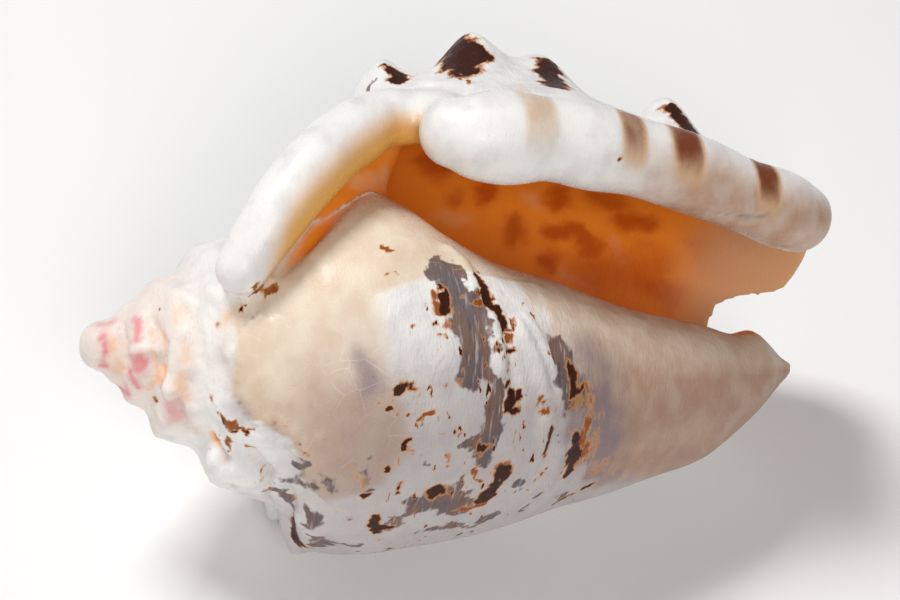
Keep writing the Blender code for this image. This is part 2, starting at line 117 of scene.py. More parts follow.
@dataclass(frozen=True)
class GrowthLaw:
    """The sizes and rules that the shell grew by, in millimetres and degrees."""

    tip_x: float = -0.4
    radius_per_turn: float = 1.57
    length_per_turn: float = 1.70
    shoulder_x: float = 21.2
    shoulder_r: float = 20.6
    ramp_slope: float = 1.6
    spire_ramp_slope: float = 1.9
    side_slope: float = 0.33
    ramp_top: float = 1.15
    knobs_per_turn: int = 11
    shoulder_knob: float = 0.12
    back_shoulder_knob: float = 0.15
    first_knob: float = 186.0
    turns: int = 7
    cap: Tuple[float, float, float] = (1.7, 2.1, 2.55)
    wall: float = 2.0
    sinus_wall: float = 2.4
    lip_swell: float = 2.1
    columella_end: float = 79.0
    finger_back: Tuple[float, float, float] = (13.0, 15.2, 0.80)
    callus: Tuple[float, float, float, float] = (9.8, 8.6, 1.3, 0.62)
    knob_spacing: float = 31.0
    knobs_in_row: int = 4
    knob_fade: float = 0.72
    lone_knob: Tuple[float, ...] = (54.0, 2.8, 4.6, 13.0, 225)
    back_knobs: Tuple[Tuple[float, ...], ...] = (
        (29.0, 7.0, 4.2, 10.5, 352), (40.4, 5.4, 3.7, 10.0, 357),
        (48.6, 4.4, 3.9, 10.0, 357), (64.2, 6.0, 3.8, 10.5, 354))
    lip_edge: Points = (
        (0, 62), (12.7, 60), (15.5, 47), (19.4, 37), (24.6, 25), (29.8, 15), (33.5, 9), (36, 16),
        (38.5, 28), (46, 30.5), (52, 31), (100, 31))
    lip_phi: float = 31.0
    margin: Points = (
        (-360, 79), (60, 79), (180, 79), (235, 79), (265, 77), (281, 76.0), (294, 76.6),
        (301, 79.5), (307, 83.4), (315, 84.6), (328, 84.8), (345, 84), (365, 82.4), (380, 78.6),
        (392, 76.3), (450, 75))
    outlines: Tuple[Tuple[float, Points], ...] = (
        (-180, ((14, 12.6), (20, 13.2), (27, 12.0), (35, 8.5), (45, 5.5), (60, 3.8), (79, 1.0),
                (90, 0.4))),
        (-90, ((14, 13.4), (20, 14.3), (26, 13.8), (34, 10.2), (45, 6.3), (60, 4.2), (79, 1.0),
               (90, 0.4))),
        (0, ((16, 14.6), (22, 16.3), (27.3, 17.0), (30.4, 16.0), (35.3, 12.6), (41.9, 9.2),
             (48.6, 7.8), (55.6, 5.8), (67.9, 3.9), (70.8, 3.2), (73.4, 3.9), (75.6, 2.7),
             (79, 0.7), (90, 0.4))),
        (90, ((16, 15.0), (22, 17.4), (27, 18.7), (32, 18.9), (38, 17.8), (45, 15.6), (52, 13.0),
              (60, 10.2), (68, 7.4), (74, 5.0), (79, 0.9), (90, 0.4))),
        (180, ((20, 18.6), (24, 19.6), (29, 20.8), (34.5, 20.1), (40, 19.2), (45.6, 17.8),
               (51.3, 15.9), (57.2, 14.3), (63, 12.3), (68, 10.6), (71.6, 8.0), (75.2, 4.6),
               (78.2, 1.6), (79, 0.8), (90, 0.4))),
        (225, ((20, 20.4), (24, 21.0), (30, 21.6), (38, 21.0), (46, 19.5), (54, 17.3), (62, 14.8),
               (70, 11.2), (75, 6.0), (79, 2.0), (90, 0.6))),
        (270, ((20, 21.5), (25, 22.6), (31, 23.6), (40, 23.6), (48, 22.8), (56, 21.2), (64, 19.3),
               (72, 17.4), (77, 16.0), (86, 13.0), (90, 11))),
        (330, ((24, 24.0), (29, 25.5), (35, 27.3), (43, 28.0), (50, 27.3), (58, 25.2), (67, 22.4),
               (75, 19.8), (86, 15.5), (90, 13))),
        (360, ((24, 25), (30, 26.5), (35, 28.3), (43, 29.3), (50, 28.0), (57, 25.4), (67, 22.8),
               (75, 20.4), (82, 18.2), (90, 15))),
        (390, LIP_OUTLINE), (450, LIP_OUTLINE))
    angle_step: float = 5.0
    x_step: float = 0.5
    last_x: float = 95.0
    table: Array = field(init=False, repr=False, compare=False)

    def __post_init__(self) -> None:
        """Reads the outlines on an even grid of growth angles and x."""
        stations = [s for s, _ in self.outlines]
        xs = np.arange(0, self.last_x + self.x_step, self.x_step)
        angles = np.arange(stations[0], stations[-1] + 1, self.angle_step)
        rows = np.array([smooth_curve(line, xs) for _, line in self.outlines])
        columns = [smooth_curve(list(zip(stations, rows[:, k])), angles) for k in range(len(xs))]
        object.__setattr__(self, "table", np.array(columns).T)

    def lip(self, x: Array) -> Array:
        """Angle phi of the outer lip's edge at x."""
        return smooth_curve(self.lip_edge, x)

    def outline(self, x: Array, theta: Array) -> Array:
        """Radius of the last turn beyond its shoulder."""
        rows, columns = self.table.shape
        u = np.clip((theta - self.outlines[0][0]) / self.angle_step, 0, rows - 1.001)
        v = np.clip(x / self.x_step, 0, columns - 1.001)
        i, j = u.astype(int), v.astype(int)
        fu, fv = u - i, v - j
        near = self.table[i, j] * (1 - fu) + self.table[i + 1, j] * fu
        far = self.table[i, j + 1] * (1 - fu) + self.table[i + 1, j + 1] * fu
        return near * (1 - fv) + far * fv

    def shoulder(self, theta: Array) -> Tuple[Array, Array]:
        """Where a growth angle's shoulder starts along the axis, and its radius."""
        turns = (theta - 180) / 360.0
        return (self.shoulder_x * self.length_per_turn ** turns,
                self.shoulder_r * self.radius_per_turn ** turns)

    def knob_wave(self, theta: Array) -> Array:
        """0 to 1, once up and down for each shoulder knob."""
        return (0.5 + 0.5 * np.cos(np.radians(theta - self.first_knob) * self.knobs_per_turn)) ** 2.2

    def spire_whorl(self, x: Array, theta: Array) -> Array:
        """Radius of a whorl of the spire, with its knobs."""
        foot, width = self.shoulder(theta)
        xi = x / foot
        below = -np.cos(np.radians(theta))
        ramp = 1 - self.spire_ramp_slope * (1.12 - 0.03 * below - xi)
        side = 1 + self.side_slope * (xi - self.ramp_top)
        r = soft_min(ramp, side, 0.10)
        r = np.where(xi > 1.9, r - 0.8 * (xi - 1.9), r)
        size = (0.62 + 0.38 * below) * (0.5 + 0.5 * smooth_step(4, 13, x))
        knob = 0.17 * np.exp(-((xi - 1.045) / 0.08) ** 2) + 0.06 * np.exp(-((xi - 1.25) / 0.2) ** 2)
        return width * (r * (1.02 + 0.03 * below) + knob * self.knob_wave(theta) * size)

    def row_knobs(self, x: Array, theta: Array) -> Array:
        """Height of the knobs on the back, in their rows."""
        height = np.zeros_like(x)
        for centre, tall, length, width, first in self.back_knobs:
            for n in range(self.knobs_in_row):
                turn = (theta - first + self.knob_spacing * n) / width
                far = ((x - centre) / length) ** 2 + turn ** 2
                height = height + tall * self.knob_fade ** n * np.exp(-far ** 0.9)
        centre, tall, length, width, angle = self.lone_knob
        far = ((x - centre) / length) ** 2 + ((theta - angle) / width) ** 2
        return height + tall * np.exp(-far ** 0.9)

    def last_whorl(self, x: Array, theta: Array, knobs: bool = True) -> Array:
        """Radius of the last turn up to the lip, and of the pillar under it."""
        foot, width = self.shoulder(theta)
        xi = x / foot
        ramp = width * (1 - self.ramp_slope * (self.ramp_top - xi))
        tip_x, tip_r, rise = self.finger_back
        finger = tip_r + rise * (x - tip_x) - 2.5 * np.maximum(tip_x - 0.6 - x, 0)
        behind_lip = theta - (self.lip(x) + 360)
        ramp = ramp + (np.maximum(finger, ramp) - ramp) * smooth_step(-26, -5, behind_lip)
        start_x, start_r, steep, gentle = self.callus
        callus = soft_min(start_r + steep * (x - start_x),
                          start_r + 1.7 + gentle * (x - start_x), 1.5)
        cover = smooth_step(20, 45, theta) * (1 - smooth_step(118, 150, theta))
        ramp = ramp + (np.maximum(callus, ramp) - ramp) * cover
        r = soft_min(ramp, self.outline(x, theta), 1.6)
        if knobs:
            shown = smooth_step(120, 165, theta) * (1 - smooth_step(300, 325, theta))
            tall = self.shoulder_knob + self.back_shoulder_knob * smooth_step(185, 240, theta)
            knob = tall * np.exp(-((xi - 1.07) / 0.07) ** 2)
            knob = knob + 0.03 * np.exp(-((xi - 1.2) / 0.13) ** 2)
            r = r + self.row_knobs(x, theta) + width * knob * self.knob_wave(theta) * shown
        return r

    def radius(self, x: Array, theta: Array) -> Array:
        """Outer surface: the whorl at this growth angle over all the whorls before it."""
        x, theta = np.broadcast_arrays(np.asarray(x, float), np.asarray(theta, float))
        r = np.zeros(x.shape)
        for turn in range(self.turns):
            angle = theta - 360 * turn
            last = self.last_whorl(x, np.maximum(angle, -180))
            whorl = np.where(angle > -180, last, self.spire_whorl(x, angle))
            r = whorl if turn == 0 else soft_max(r, whorl, 0.7 * np.clip(x / 20, 0.25, 1))
        centre, half, tall = self.cap
        cap = tall * np.sqrt(np.clip(1 - ((x - centre) / half) ** 2, 0, 1))
        r = np.where(x < centre, cap, soft_max(r, cap, 0.4))
        return np.maximum(r, 0.02)

    def inner_radius(self, x: Array, theta: Array) -> Array:
        """Inside of the last turn's wall."""
        wall = self.wall + self.sinus_wall * smooth_step(300, 360, theta) * (
            1 - smooth_step(26, 44, x))
        here = self.last_whorl(x, theta, knobs=False)
        before = self.last_whorl(np.maximum(x - wall, 0), theta, knobs=False)
        after = self.last_whorl(x + wall, theta, knobs=False)
        swell = self.lip_swell * smooth_step(362, 390, theta) * smooth_step(31, 36, x)
        return np.minimum(np.minimum(here, before), after) - 0.8 * wall - swell


@dataclass(frozen=True)
class Rest:
    """How the shell lies: its turn and shift from the growth frame to the floor, in metres."""

    turn: Points = ((0.9921368, -0.0867553, 0.0902110), (0.0, 0.7207772, 0.6931667),
                    (-0.1251579, -0.6877162, 0.7151096))
    shift: Tuple[float, float, float] = (-0.0420343, -0.0054106, 0.0266592)

    def matrix(self) -> Matrix:
        """The turn and the shift as one matrix."""
        return Matrix.Translation(self.shift) @ Matrix(self.turn).to_4x4()


class Tools:
    """The modelling steps that every piece uses."""

    @staticmethod
    def deselect() -> None:
        """Leaves edit mode and deselects everything."""
        if bpy.context.object and bpy.context.object.mode != "OBJECT":
            bpy.ops.object.mode_set(mode="OBJECT")
        bpy.ops.object.select_all(action="DESELECT")

    @staticmethod
    def only(obj: bpy.types.Object) -> None:
        """Selects one object and makes it active."""
        Tools.deselect()
        obj.select_set(True)
        bpy.context.view_layer.objects.active = obj

    @staticmethod
    def apply(obj: bpy.types.Object, kind: str, **settings: object) -> None:
        """Adds a modifier with these settings and applies it.

        Args:
            obj: The object to change.
            kind: Blender's name of the modifier's type.
            **settings: The modifier's settings.
        """
        Tools.only(obj)
        modifier = obj.modifiers.new(kind.lower(), kind)
        for name, value in settings.items():
            setattr(modifier, name, value)
        bpy.ops.object.modifier_apply(modifier=modifier.name)

    @staticmethod
    def set_points(obj: bpy.types.Object, points: Array) -> None:
        """Moves an object's vertices to these points, given in millimetres."""
        obj.data.vertices.foreach_set("co", (points * MM).astype(np.float32).ravel())
        obj.data.update()

    @staticmethod
    def get_points(obj: bpy.types.Object) -> Array:
        """An object's vertices, in millimetres."""
        co = np.zeros(len(obj.data.vertices) * 3, np.float32)
        obj.data.vertices.foreach_get("co", co)
        return co.reshape(-1, 3).astype(float) / MM

    @staticmethod
    def face_out(obj: bpy.types.Object) -> None:
        """Turns every face of a closed piece outwards."""
        Tools.only(obj)
        bpy.ops.object.mode_set(mode="EDIT")
        bpy.ops.mesh.select_all(action="SELECT")
        bpy.ops.mesh.normals_make_consistent(inside=False)
        bpy.ops.object.mode_set(mode="OBJECT")

    @staticmethod
    def ball(name: str, rings: int, sides: int, law: Law, ends: Points) -> bpy.types.Object:
        """Adds a ball and bends it to a law, ring by ring.

        Args:
            name: The new piece's name.
            rings: How many rings of vertices lie between the two poles.
            sides: How many vertices each ring has.
            law: Gives the points, in millimetres, of ring numbers and side numbers.
            ends: The points of the first and the last pole, in millimetres.

        Returns:
            The bent piece.
        """
        Tools.deselect()
        bpy.ops.mesh.primitive_uv_sphere_add(segments=sides, ring_count=rings + 1, radius=1)
        obj = bpy.context.object
        obj.name = name
        co = Tools.get_points(obj) * MM
        ring = np.rint(np.arccos(np.clip(co[:, 2], -1, 1)) / math.pi * (rings + 1)).astype(int)
        turn = np.arctan2(co[:, 1], co[:, 0]) / (2 * math.pi)
        side = np.rint(turn * sides).astype(int) % sides
        points = law(np.clip(ring - 1, 0, rings - 1), side)
        points[ring == 0] = ends[0]
        points[ring == rings + 1] = ends[1]
        Tools.set_points(obj, points)
        Tools.face_out(obj)
        return obj

    @staticmethod
    def slab(name: str, rows: int, columns: int, law: Law) -> bpy.types.Object:
        """Adds a grid, extrudes it to a slab of two skins, and bends it to a law.

        Args:
            name: The new piece's name.
            rows: How many vertices it has along.
            columns: How many vertices it has across.
            law: Gives the inner and the outer points of row numbers and column numbers.

        Returns:
            The bent slab.
        """
        Tools.deselect()
        bpy.ops.mesh.primitive_grid_add(x_subdivisions=rows - 1, y_subdivisions=columns - 1, size=2)
        obj = bpy.context.object
        obj.name = name
        bpy.ops.object.mode_set(mode="EDIT")
        bpy.ops.mesh.select_all(action="SELECT")
        bpy.ops.mesh.extrude_region_move(TRANSFORM_OT_translate={"value": (0, 0, 1)})
        bpy.ops.object.mode_set(mode="OBJECT")
        co = Tools.get_points(obj) * MM
        row = np.rint((co[:, 0] + 1) / 2 * (rows - 1)).astype(int)
        column = np.rint((co[:, 1] + 1) / 2 * (columns - 1)).astype(int)
        inner, outer = law(row, column)
        Tools.set_points(obj, np.where(co[:, 2:] > 0.5, outer, inner))
        Tools.face_out(obj)
        return obj


@dataclass(frozen=True)
class Roll:
    """A round-ended roll of shell along a line of centres and radii."""

    name: str
    line: Points
    rings: int = 60
    sides: int = 28
    end_rings: int = 8

    def stations(self) -> Array:
        """Centres and radii, evenly spaced along the line."""
        data = np.asarray(self.line, float)
        run = np.r_[0, np.cumsum(np.linalg.norm(np.diff(data[:, :3], axis=0), axis=1))]
        at = np.linspace(0, run[-1], self.rings)
        return np.stack([smooth_curve(list(zip(run, data[:, k])), at) for k in range(4)], axis=1)

    def build(self) -> bpy.types.Object:
        """Models the roll."""
        rows = self.stations()
        tangent = np.gradient(rows[:, :3], axis=0)
        tangent /= np.linalg.norm(tangent, axis=1)[:, None]
        bend = np.pi / 2 * np.arange(1, self.end_rings + 1) / self.end_rings
        back = [(rows[0, :3] - tangent[0] * rows[0, 3] * math.cos(a), tangent[0],
                 rows[0, 3] * math.sin(a)) for a in bend]
        body = [(rows[i, :3], tangent[i], rows[i, 3]) for i in range(1, self.rings - 1)]
        front = [(rows[-1, :3] + tangent[-1] * rows[-1, 3] * math.cos(a), tangent[-1],
                  rows[-1, 3] * math.sin(a)) for a in bend[::-1]]
        centres, alongs, sizes = [np.array(part) for part in zip(*(back + body + front))]
        out = centres * (0, 1, 1)
        out = out - alongs * (out * alongs).sum(1)[:, None]
        out /= np.linalg.norm(out, axis=1)[:, None]
        side = np.cross(alongs, out)

        def law(ring: Array, number: Array) -> Array:
            a = 2 * np.pi * number / self.sides
            turn = out[ring] * np.cos(a)[:, None] + side[ring] * np.sin(a)[:, None]
            return centres[ring] + turn * sizes[ring][:, None]

        ends = (rows[0, :3] - tangent[0] * rows[0, 3], rows[-1, :3] + tangent[-1] * rows[-1, 3])
        return Tools.ball(self.name, len(centres), self.sides, law, ends)

    def reach(self, points: Array) -> Tuple[Array, Array]:
        """How far points are from the roll.

        Args:
            points: Points of the growth frame.

        Returns:
            The distance outside its skin, and the offset from its line in roll radii.
        """
        rows = self.stations()
        best = np.full(len(points), 1e9)
        nearest = np.zeros(len(points), int)
        for k, row in enumerate(rows):
            far = np.linalg.norm(points - row[:3], axis=1) - row[3]
            closer = far < best
            best[closer], nearest[closer] = far[closer], k
        return best, (points - rows[nearest, :3]) / rows[nearest, 3:]


class Kind(Enum):
    """What a mark on the shell is."""

    BROWN = "brown"
    GREY = "grey"
    RUST = "rust"
    WHITE = "white"
    TAN = "tan"
    SHADE = "shade"
    PINK = "pink"
    PEACH = "peach"
    INNER = "inner"
    PALE = "pale"
    KNOB = "knob"
    DENT = "dent"


CRISP = (Kind.BROWN, Kind.GREY, Kind.RUST, Kind.WHITE)
SOFT = (Kind.TAN, Kind.SHADE, Kind.PINK, Kind.PEACH, Kind.INNER, Kind.PALE)
RELIEF = (Kind.KNOB, Kind.DENT)


@dataclass(frozen=True)
class Streak:
    """A mark on the shell: a band of some width along a line of places.

    The places are x, phi and the distance from the axis, and the width is half the band's.
    """

    kind: Kind
    width: float
    line: Points
    strength: float = 1.0

    def cover(self, points: Array) -> Array:
        """How strongly the mark covers points: 0.5 at a crisp mark's edge, eased at a soft one's.

        Args:
            points: Points of the growth frame.

        Returns:
            The cover at each point, 0 to its strength.
        """
        data = np.array(self.line, float)
        line = place(data[:, 0], data[:, 1], data[:, 2])
        far = np.linalg.norm(points - line[0], axis=1)
        for start, finish in zip(line[:-1], line[1:]):
            run = finish - start
            share = np.clip((points - start) @ run / (run @ run + 1e-9), 0, 1)
            far = np.minimum(far, np.linalg.norm(points - start - share[:, None] * run, axis=1))
        if self.kind in CRISP:
            return self.strength * np.clip(1 - 0.5 * (far / (self.width + 0.12)) ** 2, 0, 1)
        return self.strength * np.exp(-(far / (self.width + 0.1)) ** 2)


@dataclass(frozen=True)
class Pattern:
    """The marks of the shell, by kind: each its half width, its strength and its places."""

    marks: Tuple[Tuple[Kind, Marks], ...] = (
        (Kind.RUST, (
            (0.24, 1, (26.3, 54, 18.0), (26.9, 55, 18.1)),
            (0.29, 0.9, (25.6, 62, 18.0), (26.7, 62, 18.2)),
            (0.39, 0.7, (27.8, 64, 18.3)), (0.49, 1, (30.6, 71, 18.4), (31.3, 80, 18.6)),
            (0.34, 1, (34.0, 69, 17.9), (36.3, 69, 17.2)), (0.22, 1, (39.0, 80, 17.1), (39.4, 86, 17.3)),
            (0.3, 1, (41.3, 66, 15.3), (41.8, 71, 15.5), (42.5, 77, 15.7)),
            (0.25, 1, (42.9, 83, 16.0), (43.1, 88, 16.1)), (0.26, 1, (37.3, 83, 17.7)),
            (0.29, 1, (27.8, 81, 18.6), (27.9, 83, 18.6)), (0.23, 1, (28.7, 90, 18.8), (28.8, 94, 18.9)),
            (0.21, 1, (31.9, 93, 19.0), (33.1, 93, 18.9)),
            (1.01, 0.6, (48.4, 98, 14.6), (49.2, 104, 14.6)),
            (0.17, 1, (28.5, 106, 19.1), (30.8, 106, 19.3)),
            (0.25, 0.8, (31.4, 112, 19.4), (32.3, 111, 19.3)),
            (0.33, 0.8, (29.4, 117, 19.5), (30.4, 117, 19.5)),
            (0.3, 1, (31.9, 126, 19.6), (33.3, 127, 19.5)),
            (0.22, 0.8, (32.3, 120, 19.5), (33.6, 121, 19.3)), (0.32, 1, (40.2, 113, 17.8)),
            (0.4, 1, (43.2, 104, 16.7), (43.1, 107, 16.8)), (0.3, 1, (44.3, 104, 16.3)),
            (0.3, 1, (46.9, 103, 15.4), (46.9, 107, 15.5)),
            (0.92, 0.8, (49.1, 114, 14.9), (49.4, 123, 15.0), (49.5, 131, 15.2)),
            (0.36, 1, (44.6, 129, 16.8), (45.0, 134, 16.8)),
            (0.8, 0.8, (39.7, 125, 18.2), (38.5, 140, 18.7)),
            (0.36, 1, (36.5, 125, 18.9), (37.2, 129, 18.8)),
            (0.4, 1, (36.1, 140, 19.2), (38.5, 142, 18.7)),
            (0.39, 0.7, (10.7, 115, 9.8), (11.2, 117, 10.7)),
            (0.49, 1, (11.6, 121, 11.9), (12.6, 121, 13.4), (14.1, 126, 13.4)),
            (0.35, 1, (12.9, 132, 12.6), (13.7, 137, 13.0)),
            (0.29, 0.7, (14.8, 122, 13.7), (15.4, 122, 13.9)),
            (0.16, 1, (15.0, 133, 13.5), (16.4, 135, 14.0)),
            (0.23, 0.8, (18.5, 121, 15.5), (18.9, 125, 15.6)),
            (0.29, 0.6, (19.3, 125, 15.9), (20.1, 123, 16.5)),
            (0.45, 0.65, (16.7, 140, 14.2), (16.7, 149, 14.5)),
            (0.24, 1, (17.7, 151, 14.9), (18.4, 159, 15.1)),
            (0.4, 0.6, (23.5, 145, 18.8), (24.8, 145, 19.2)),
            (0.49, 0.6, (24.3, 126, 18.7), (25.0, 130, 19.0)),
            (0.22, 1, (11.6, 150, 11.0), (11.8, 151, 11.7)),
            (0.24, 0.8, (12.5, 170, 11.7), (13.1, 169, 12.6)),
            (0.22, 0.8, (11.9, 142, 11.0), (12.2, 138, 11.5)),
            (0.49, 1, (13.6, 65, 15.3), (14.8, 64, 13.7), (15.9, 61, 14.0)),
            (0.45, 1, (21.9, 39, 20.8), (24.8, 20, 17.7)), (0.46, 1, (36.9, 11, 29.4), (37.3, 15, 29.3)),
            (0.54, 0.7, (62.6, 1, 27.2), (63.7, 1, 27.2)))),
        (Kind.GREY, (
            (0.9, 1, (31.0, 62, 18.0), (32.2, 57, 17.6), (33.6, 60, 17.4)),
            (1.5, 0.85, (35.2, 68, 17.4), (36.2, 80, 17.8), (36.4, 92, 18.2)),
            (1.67, 1, (32.8, 60, 17.7), (33.4, 70, 18.1), (34.0, 80, 18.4), (34.6, 91, 18.6)),
            (1.56, 1, (32.8, 83, 18.7), (33.8, 93, 18.8)), (1.08, 1, (34.7, 73, 17.9), (35.5, 86, 18.3)),
            (0.22, 0.8, (40.9, 92, 17.1), (40.8, 100, 17.3)),
            (0.79, 1, (37.6, 95, 18.0), (37.3, 101, 18.3)),
            (1.5, 1, (45.3, 86, 15.3), (46.3, 95, 15.3), (47.0, 102, 15.3)), (0.39, 1, (29.2, 108, 19.2)),
            (0.44, 1, (30.1, 120, 19.5), (30.7, 121, 19.6)), (0.39, 1, (26.0, 132, 19.3)),
            (0.45, 1, (29.1, 148, 20.1), (29.9, 143, 20.0), (30.7, 139, 19.9)),
            (1.29, 1, (31.3, 137, 19.8), (32.6, 134, 19.7), (34.1, 134, 19.5)),
            (1.1, 1, (34.5, 139, 19.5), (37.0, 141, 19.0)), (0.6, 1, (35.1, 129, 19.2), (36.0, 137, 19.2)),
            (0.84, 1, (37.7, 103, 18.2), (37.3, 112, 18.5), (36.8, 121, 18.8)),
            (0.44, 1, (34.6, 115, 19.1), (35.7, 116, 18.9)),
            (0.18, 0.8, (46.0, 109, 15.9), (46.6, 115, 15.8), (45.5, 118, 16.3)),
            (0.5, 1, (42.1, 132, 17.7), (42.7, 137, 17.6)),
            (0.41, 1, (39.2, 156, 18.8), (40.4, 151, 18.5), (41.4, 148, 18.2)),
            (0.61, 0.8, (33.1, 151, 19.8), (37.7, 153, 19.1)),
            (0.42, 1, (49.0, 161, 16.1), (49.8, 151, 15.5)),
            (0.26, 1, (44.9, 153, 17.3), (46.1, 142, 16.6)),
            (0.5, 1, (18.5, 153, 15.1), (19.3, 155, 15.3)), (0.6, 1, (19.9, 158, 15.6), (20.6, 157, 16.3)),
            (0.91, 1, (21.7, 150, 18.7), (24.9, 172, 19.7)),
            (0.49, 0.8, (19.1, 136, 15.1), (20.7, 130, 16.7)),
            (0.89, 0.62, (19.5, 145, 15.3), (22.3, 133, 18.0)), (0.35, 1, (24.8, 147, 19.3)),
            (0.35, 1, (25.2, 164, 19.7), (26.6, 164, 20.1), (27.4, 160, 20.3)),
            (0.58, 0.6, (24.6, 123, 18.8), (25.1, 128, 19.0)), (0.52, 1, (29.0, 1, 28.0)))),
        (Kind.BROWN, (
            (0.34, 0.9, (13.2, 65, 13.2), (13.2, 68, 12.4)), (0.39, 1, (31.4, 66, 18.1), (31.7, 68, 18.2)),
            (0.54, 1, (31.5, 71, 18.3), (31.4, 77, 18.5)),
            (0.62, 1, (36.5, 61, 16.5), (37.3, 68, 16.8), (38.0, 72, 16.8), (38.8, 79, 17.1)),
            (0.25, 1, (39.2, 86, 17.3), (39.1, 93, 17.6), (38.8, 97, 17.8)), (0.31, 1, (27.5, 88, 18.7)),
            (0.53, 1, (26.9, 99, 18.8), (28.2, 98, 18.9)), (0.53, 1, (32.1, 97, 19.1), (32.8, 96, 19.0)),
            (0.49, 1, (39.8, 99, 17.6), (39.6, 105, 17.8)),
            (0.8, 1, (46.4, 91, 15.1), (46.8, 97, 15.2), (47.0, 102, 15.3)),
            (0.39, 1, (26.3, 105, 18.9), (27.4, 106, 19.0)),
            (0.29, 1, (28.4, 114, 19.3), (28.8, 117, 19.4)), (0.31, 1, (27.4, 123, 19.4)),
            (0.27, 1, (28.7, 128, 19.7), (28.7, 131, 19.7)),
            (0.41, 1, (26.0, 136, 19.3), (26.3, 135, 19.4)),
            (0.5, 1, (27.3, 144, 19.8), (27.9, 146, 20.0)), (0.5, 1, (28.4, 148, 20.1), (29.0, 147, 20.1)),
            (0.69, 0.85, (32.1, 131, 19.7), (33.0, 132, 19.6)),
            (0.39, 0.8, (36.6, 119, 18.8), (36.9, 117, 18.7)),
            (0.4, 1, (44.4, 114, 16.6), (44.3, 120, 16.7), (44.2, 126, 16.9)),
            (0.76, 1, (48.0, 118, 15.4), (48.2, 127, 15.6), (48.3, 134, 15.7)),
            (0.8, 1, (39.9, 127, 18.2), (39.4, 133, 18.4), (38.7, 138, 18.7)),
            (0.42, 0.8, (49.3, 158, 15.9), (52.9, 152, 14.5)),
            (0.33, 0.9, (11.7, 121, 12.2), (13.9, 125, 13.4)),
            (0.66, 1, (21.6, 166, 16.8), (22.5, 174, 17.9), (23.6, 178, 19.5)),
            (0.29, 0.8, (14.2, 64, 14.0), (14.8, 64, 13.7)),
            (0.3, 0.8, (21.8, 40, 21.1), (24.7, 21, 17.6)), (0.16, 1, (11.0, 73, 10.1)),
            (0.14, 1, (6.4, 51, 6.1)), (0.24, 1, (6.8, 142, 6.7), (7.1, 141, 7.2)),
            (1.75, 1, (38.5, 358, 32.6), (37.9, 7, 30.2)), (1.2, 1, (39.1, 4, 32.0), (40.3, 6, 31.7)),
            (1.3, 1, (47.9, 3, 31.6), (47.4, 9, 30.0), (46.9, 15, 29.7)),
            (0.95, 1, (31.1, 1, 29.7), (31.4, 3, 28.8)),
            (0.9, 1, (63.2, 0, 27.5), (64.6, 2, 26.8), (64.6, 5, 25.5)), (0.14, 0.9, (35.4, 41, 24.4)),
            (0.14, 0.9, (49.7, 40, 27.7)))),
        (Kind.WHITE, (
            (0.6, 1, (33.8, 49, 16.7), (35.1, 53, 16.4), (35.6, 65, 17.1)),
            (0.79, 1, (37.2, 75, 17.3), (37.8, 84, 17.6), (37.9, 92, 17.9)),
            (1.19, 1, (40.4, 77, 16.4), (41.5, 84, 16.5), (42.6, 93, 16.5), (43.3, 99, 16.5)),
            (0.59, 1, (40.0, 82, 16.9), (40.7, 95, 17.2)),
            (1.26, 1, (27.1, 84, 18.6), (29.6, 85, 18.7), (31.9, 87, 18.8)),
            (1.06, 1, (27.1, 90, 18.7), (31.2, 91, 18.9)))),
        (Kind.PEACH, (
            (0.88, 1, (12.0, 73, 11.2)), (0.6, 0.8, (2.4, 81, 2.9), (3.1, 131, 3.5)),
            (0.44, 1, (6.1, 97, 5.8), (6.4, 116, 6.1)), (0.3, 1, (5.9, 129, 5.8), (6.5, 124, 6.3)),
            (0.39, 0.6, (6.0, 69, 5.6), (6.1, 81, 5.7)), (0.59, 0.6, (8.7, 87, 8.2), (8.9, 96, 8.3)),
            (0.59, 0.8, (8.4, 111, 8.2), (8.9, 121, 8.7)), (0.49, 0.5, (8.0, 57, 7.6), (8.1, 67, 7.7)),
            (0.6, 0.5, (10.5, 146, 9.4)), (0.41, 0.5, (42.2, 17, 29.7), (41.7, 22, 29.5)))),
        (Kind.PINK, (
            (0.38, 1, (1.6, 75, 2.5), (2.0, 139, 2.6)), (0.4, 0.8, (4.3, 56, 4.5), (4.5, 83, 4.8)),
            (0.61, 1, (4.5, 104, 4.9), (4.6, 111, 5.0)), (0.56, 0.9, (4.2, 127, 4.6), (4.5, 133, 5.0)),
            (0.62, 0.6, (3.9, 178, 4.2), (4.3, 158, 4.8)), (0.74, 0.35, (7.9, 132, 8.2), (8.7, 142, 8.6)),
            (0.5, 0.4, (1.1, 28, 2.4), (2.5, 31, 2.8)))),
        (Kind.KNOB, (
            (0.49, 0.35, (4.2, 93, 4.6), (6.4, 90, 6.2)), (1.08, 0.55, (10.1, 130, 9.1)),
            (1.17, 0.5, (15.8, 126, 13.9)), (1.49, 0.6, (14.5, 147, 13.7), (15.4, 149, 14.3)),
            (0.89, 0.45, (12.2, 150, 12.9)), (0.79, 0.3, (18.4, 146, 14.9)), (0.69, 0.3, (8.6, 77, 8.0)),
            (0.59, 0.3, (9.0, 102, 8.4)), (0.69, 0.3, (8.1, 41, 7.5), (8.7, 51, 7.8)),
            (0.59, 0.3, (7.0, 120, 7.6), (7.6, 124, 8.2)), (0.78, 0.3, (10.8, 53, 9.9), (11.6, 62, 11.0)),
            (1.22, 0.4, (21.4, 156, 18.1), (23.7, 176, 19.3)),
            (3.0, 0.55, (29.0, 88, 18.7), (31.0, 89, 18.8)),
            (0.8, 0.3, (33.8, 49, 16.7), (35.1, 53, 16.4), (35.6, 65, 17.1)),
            (0.7, 0.4, (37.2, 75, 17.3), (37.8, 84, 17.6), (37.9, 92, 17.9)),
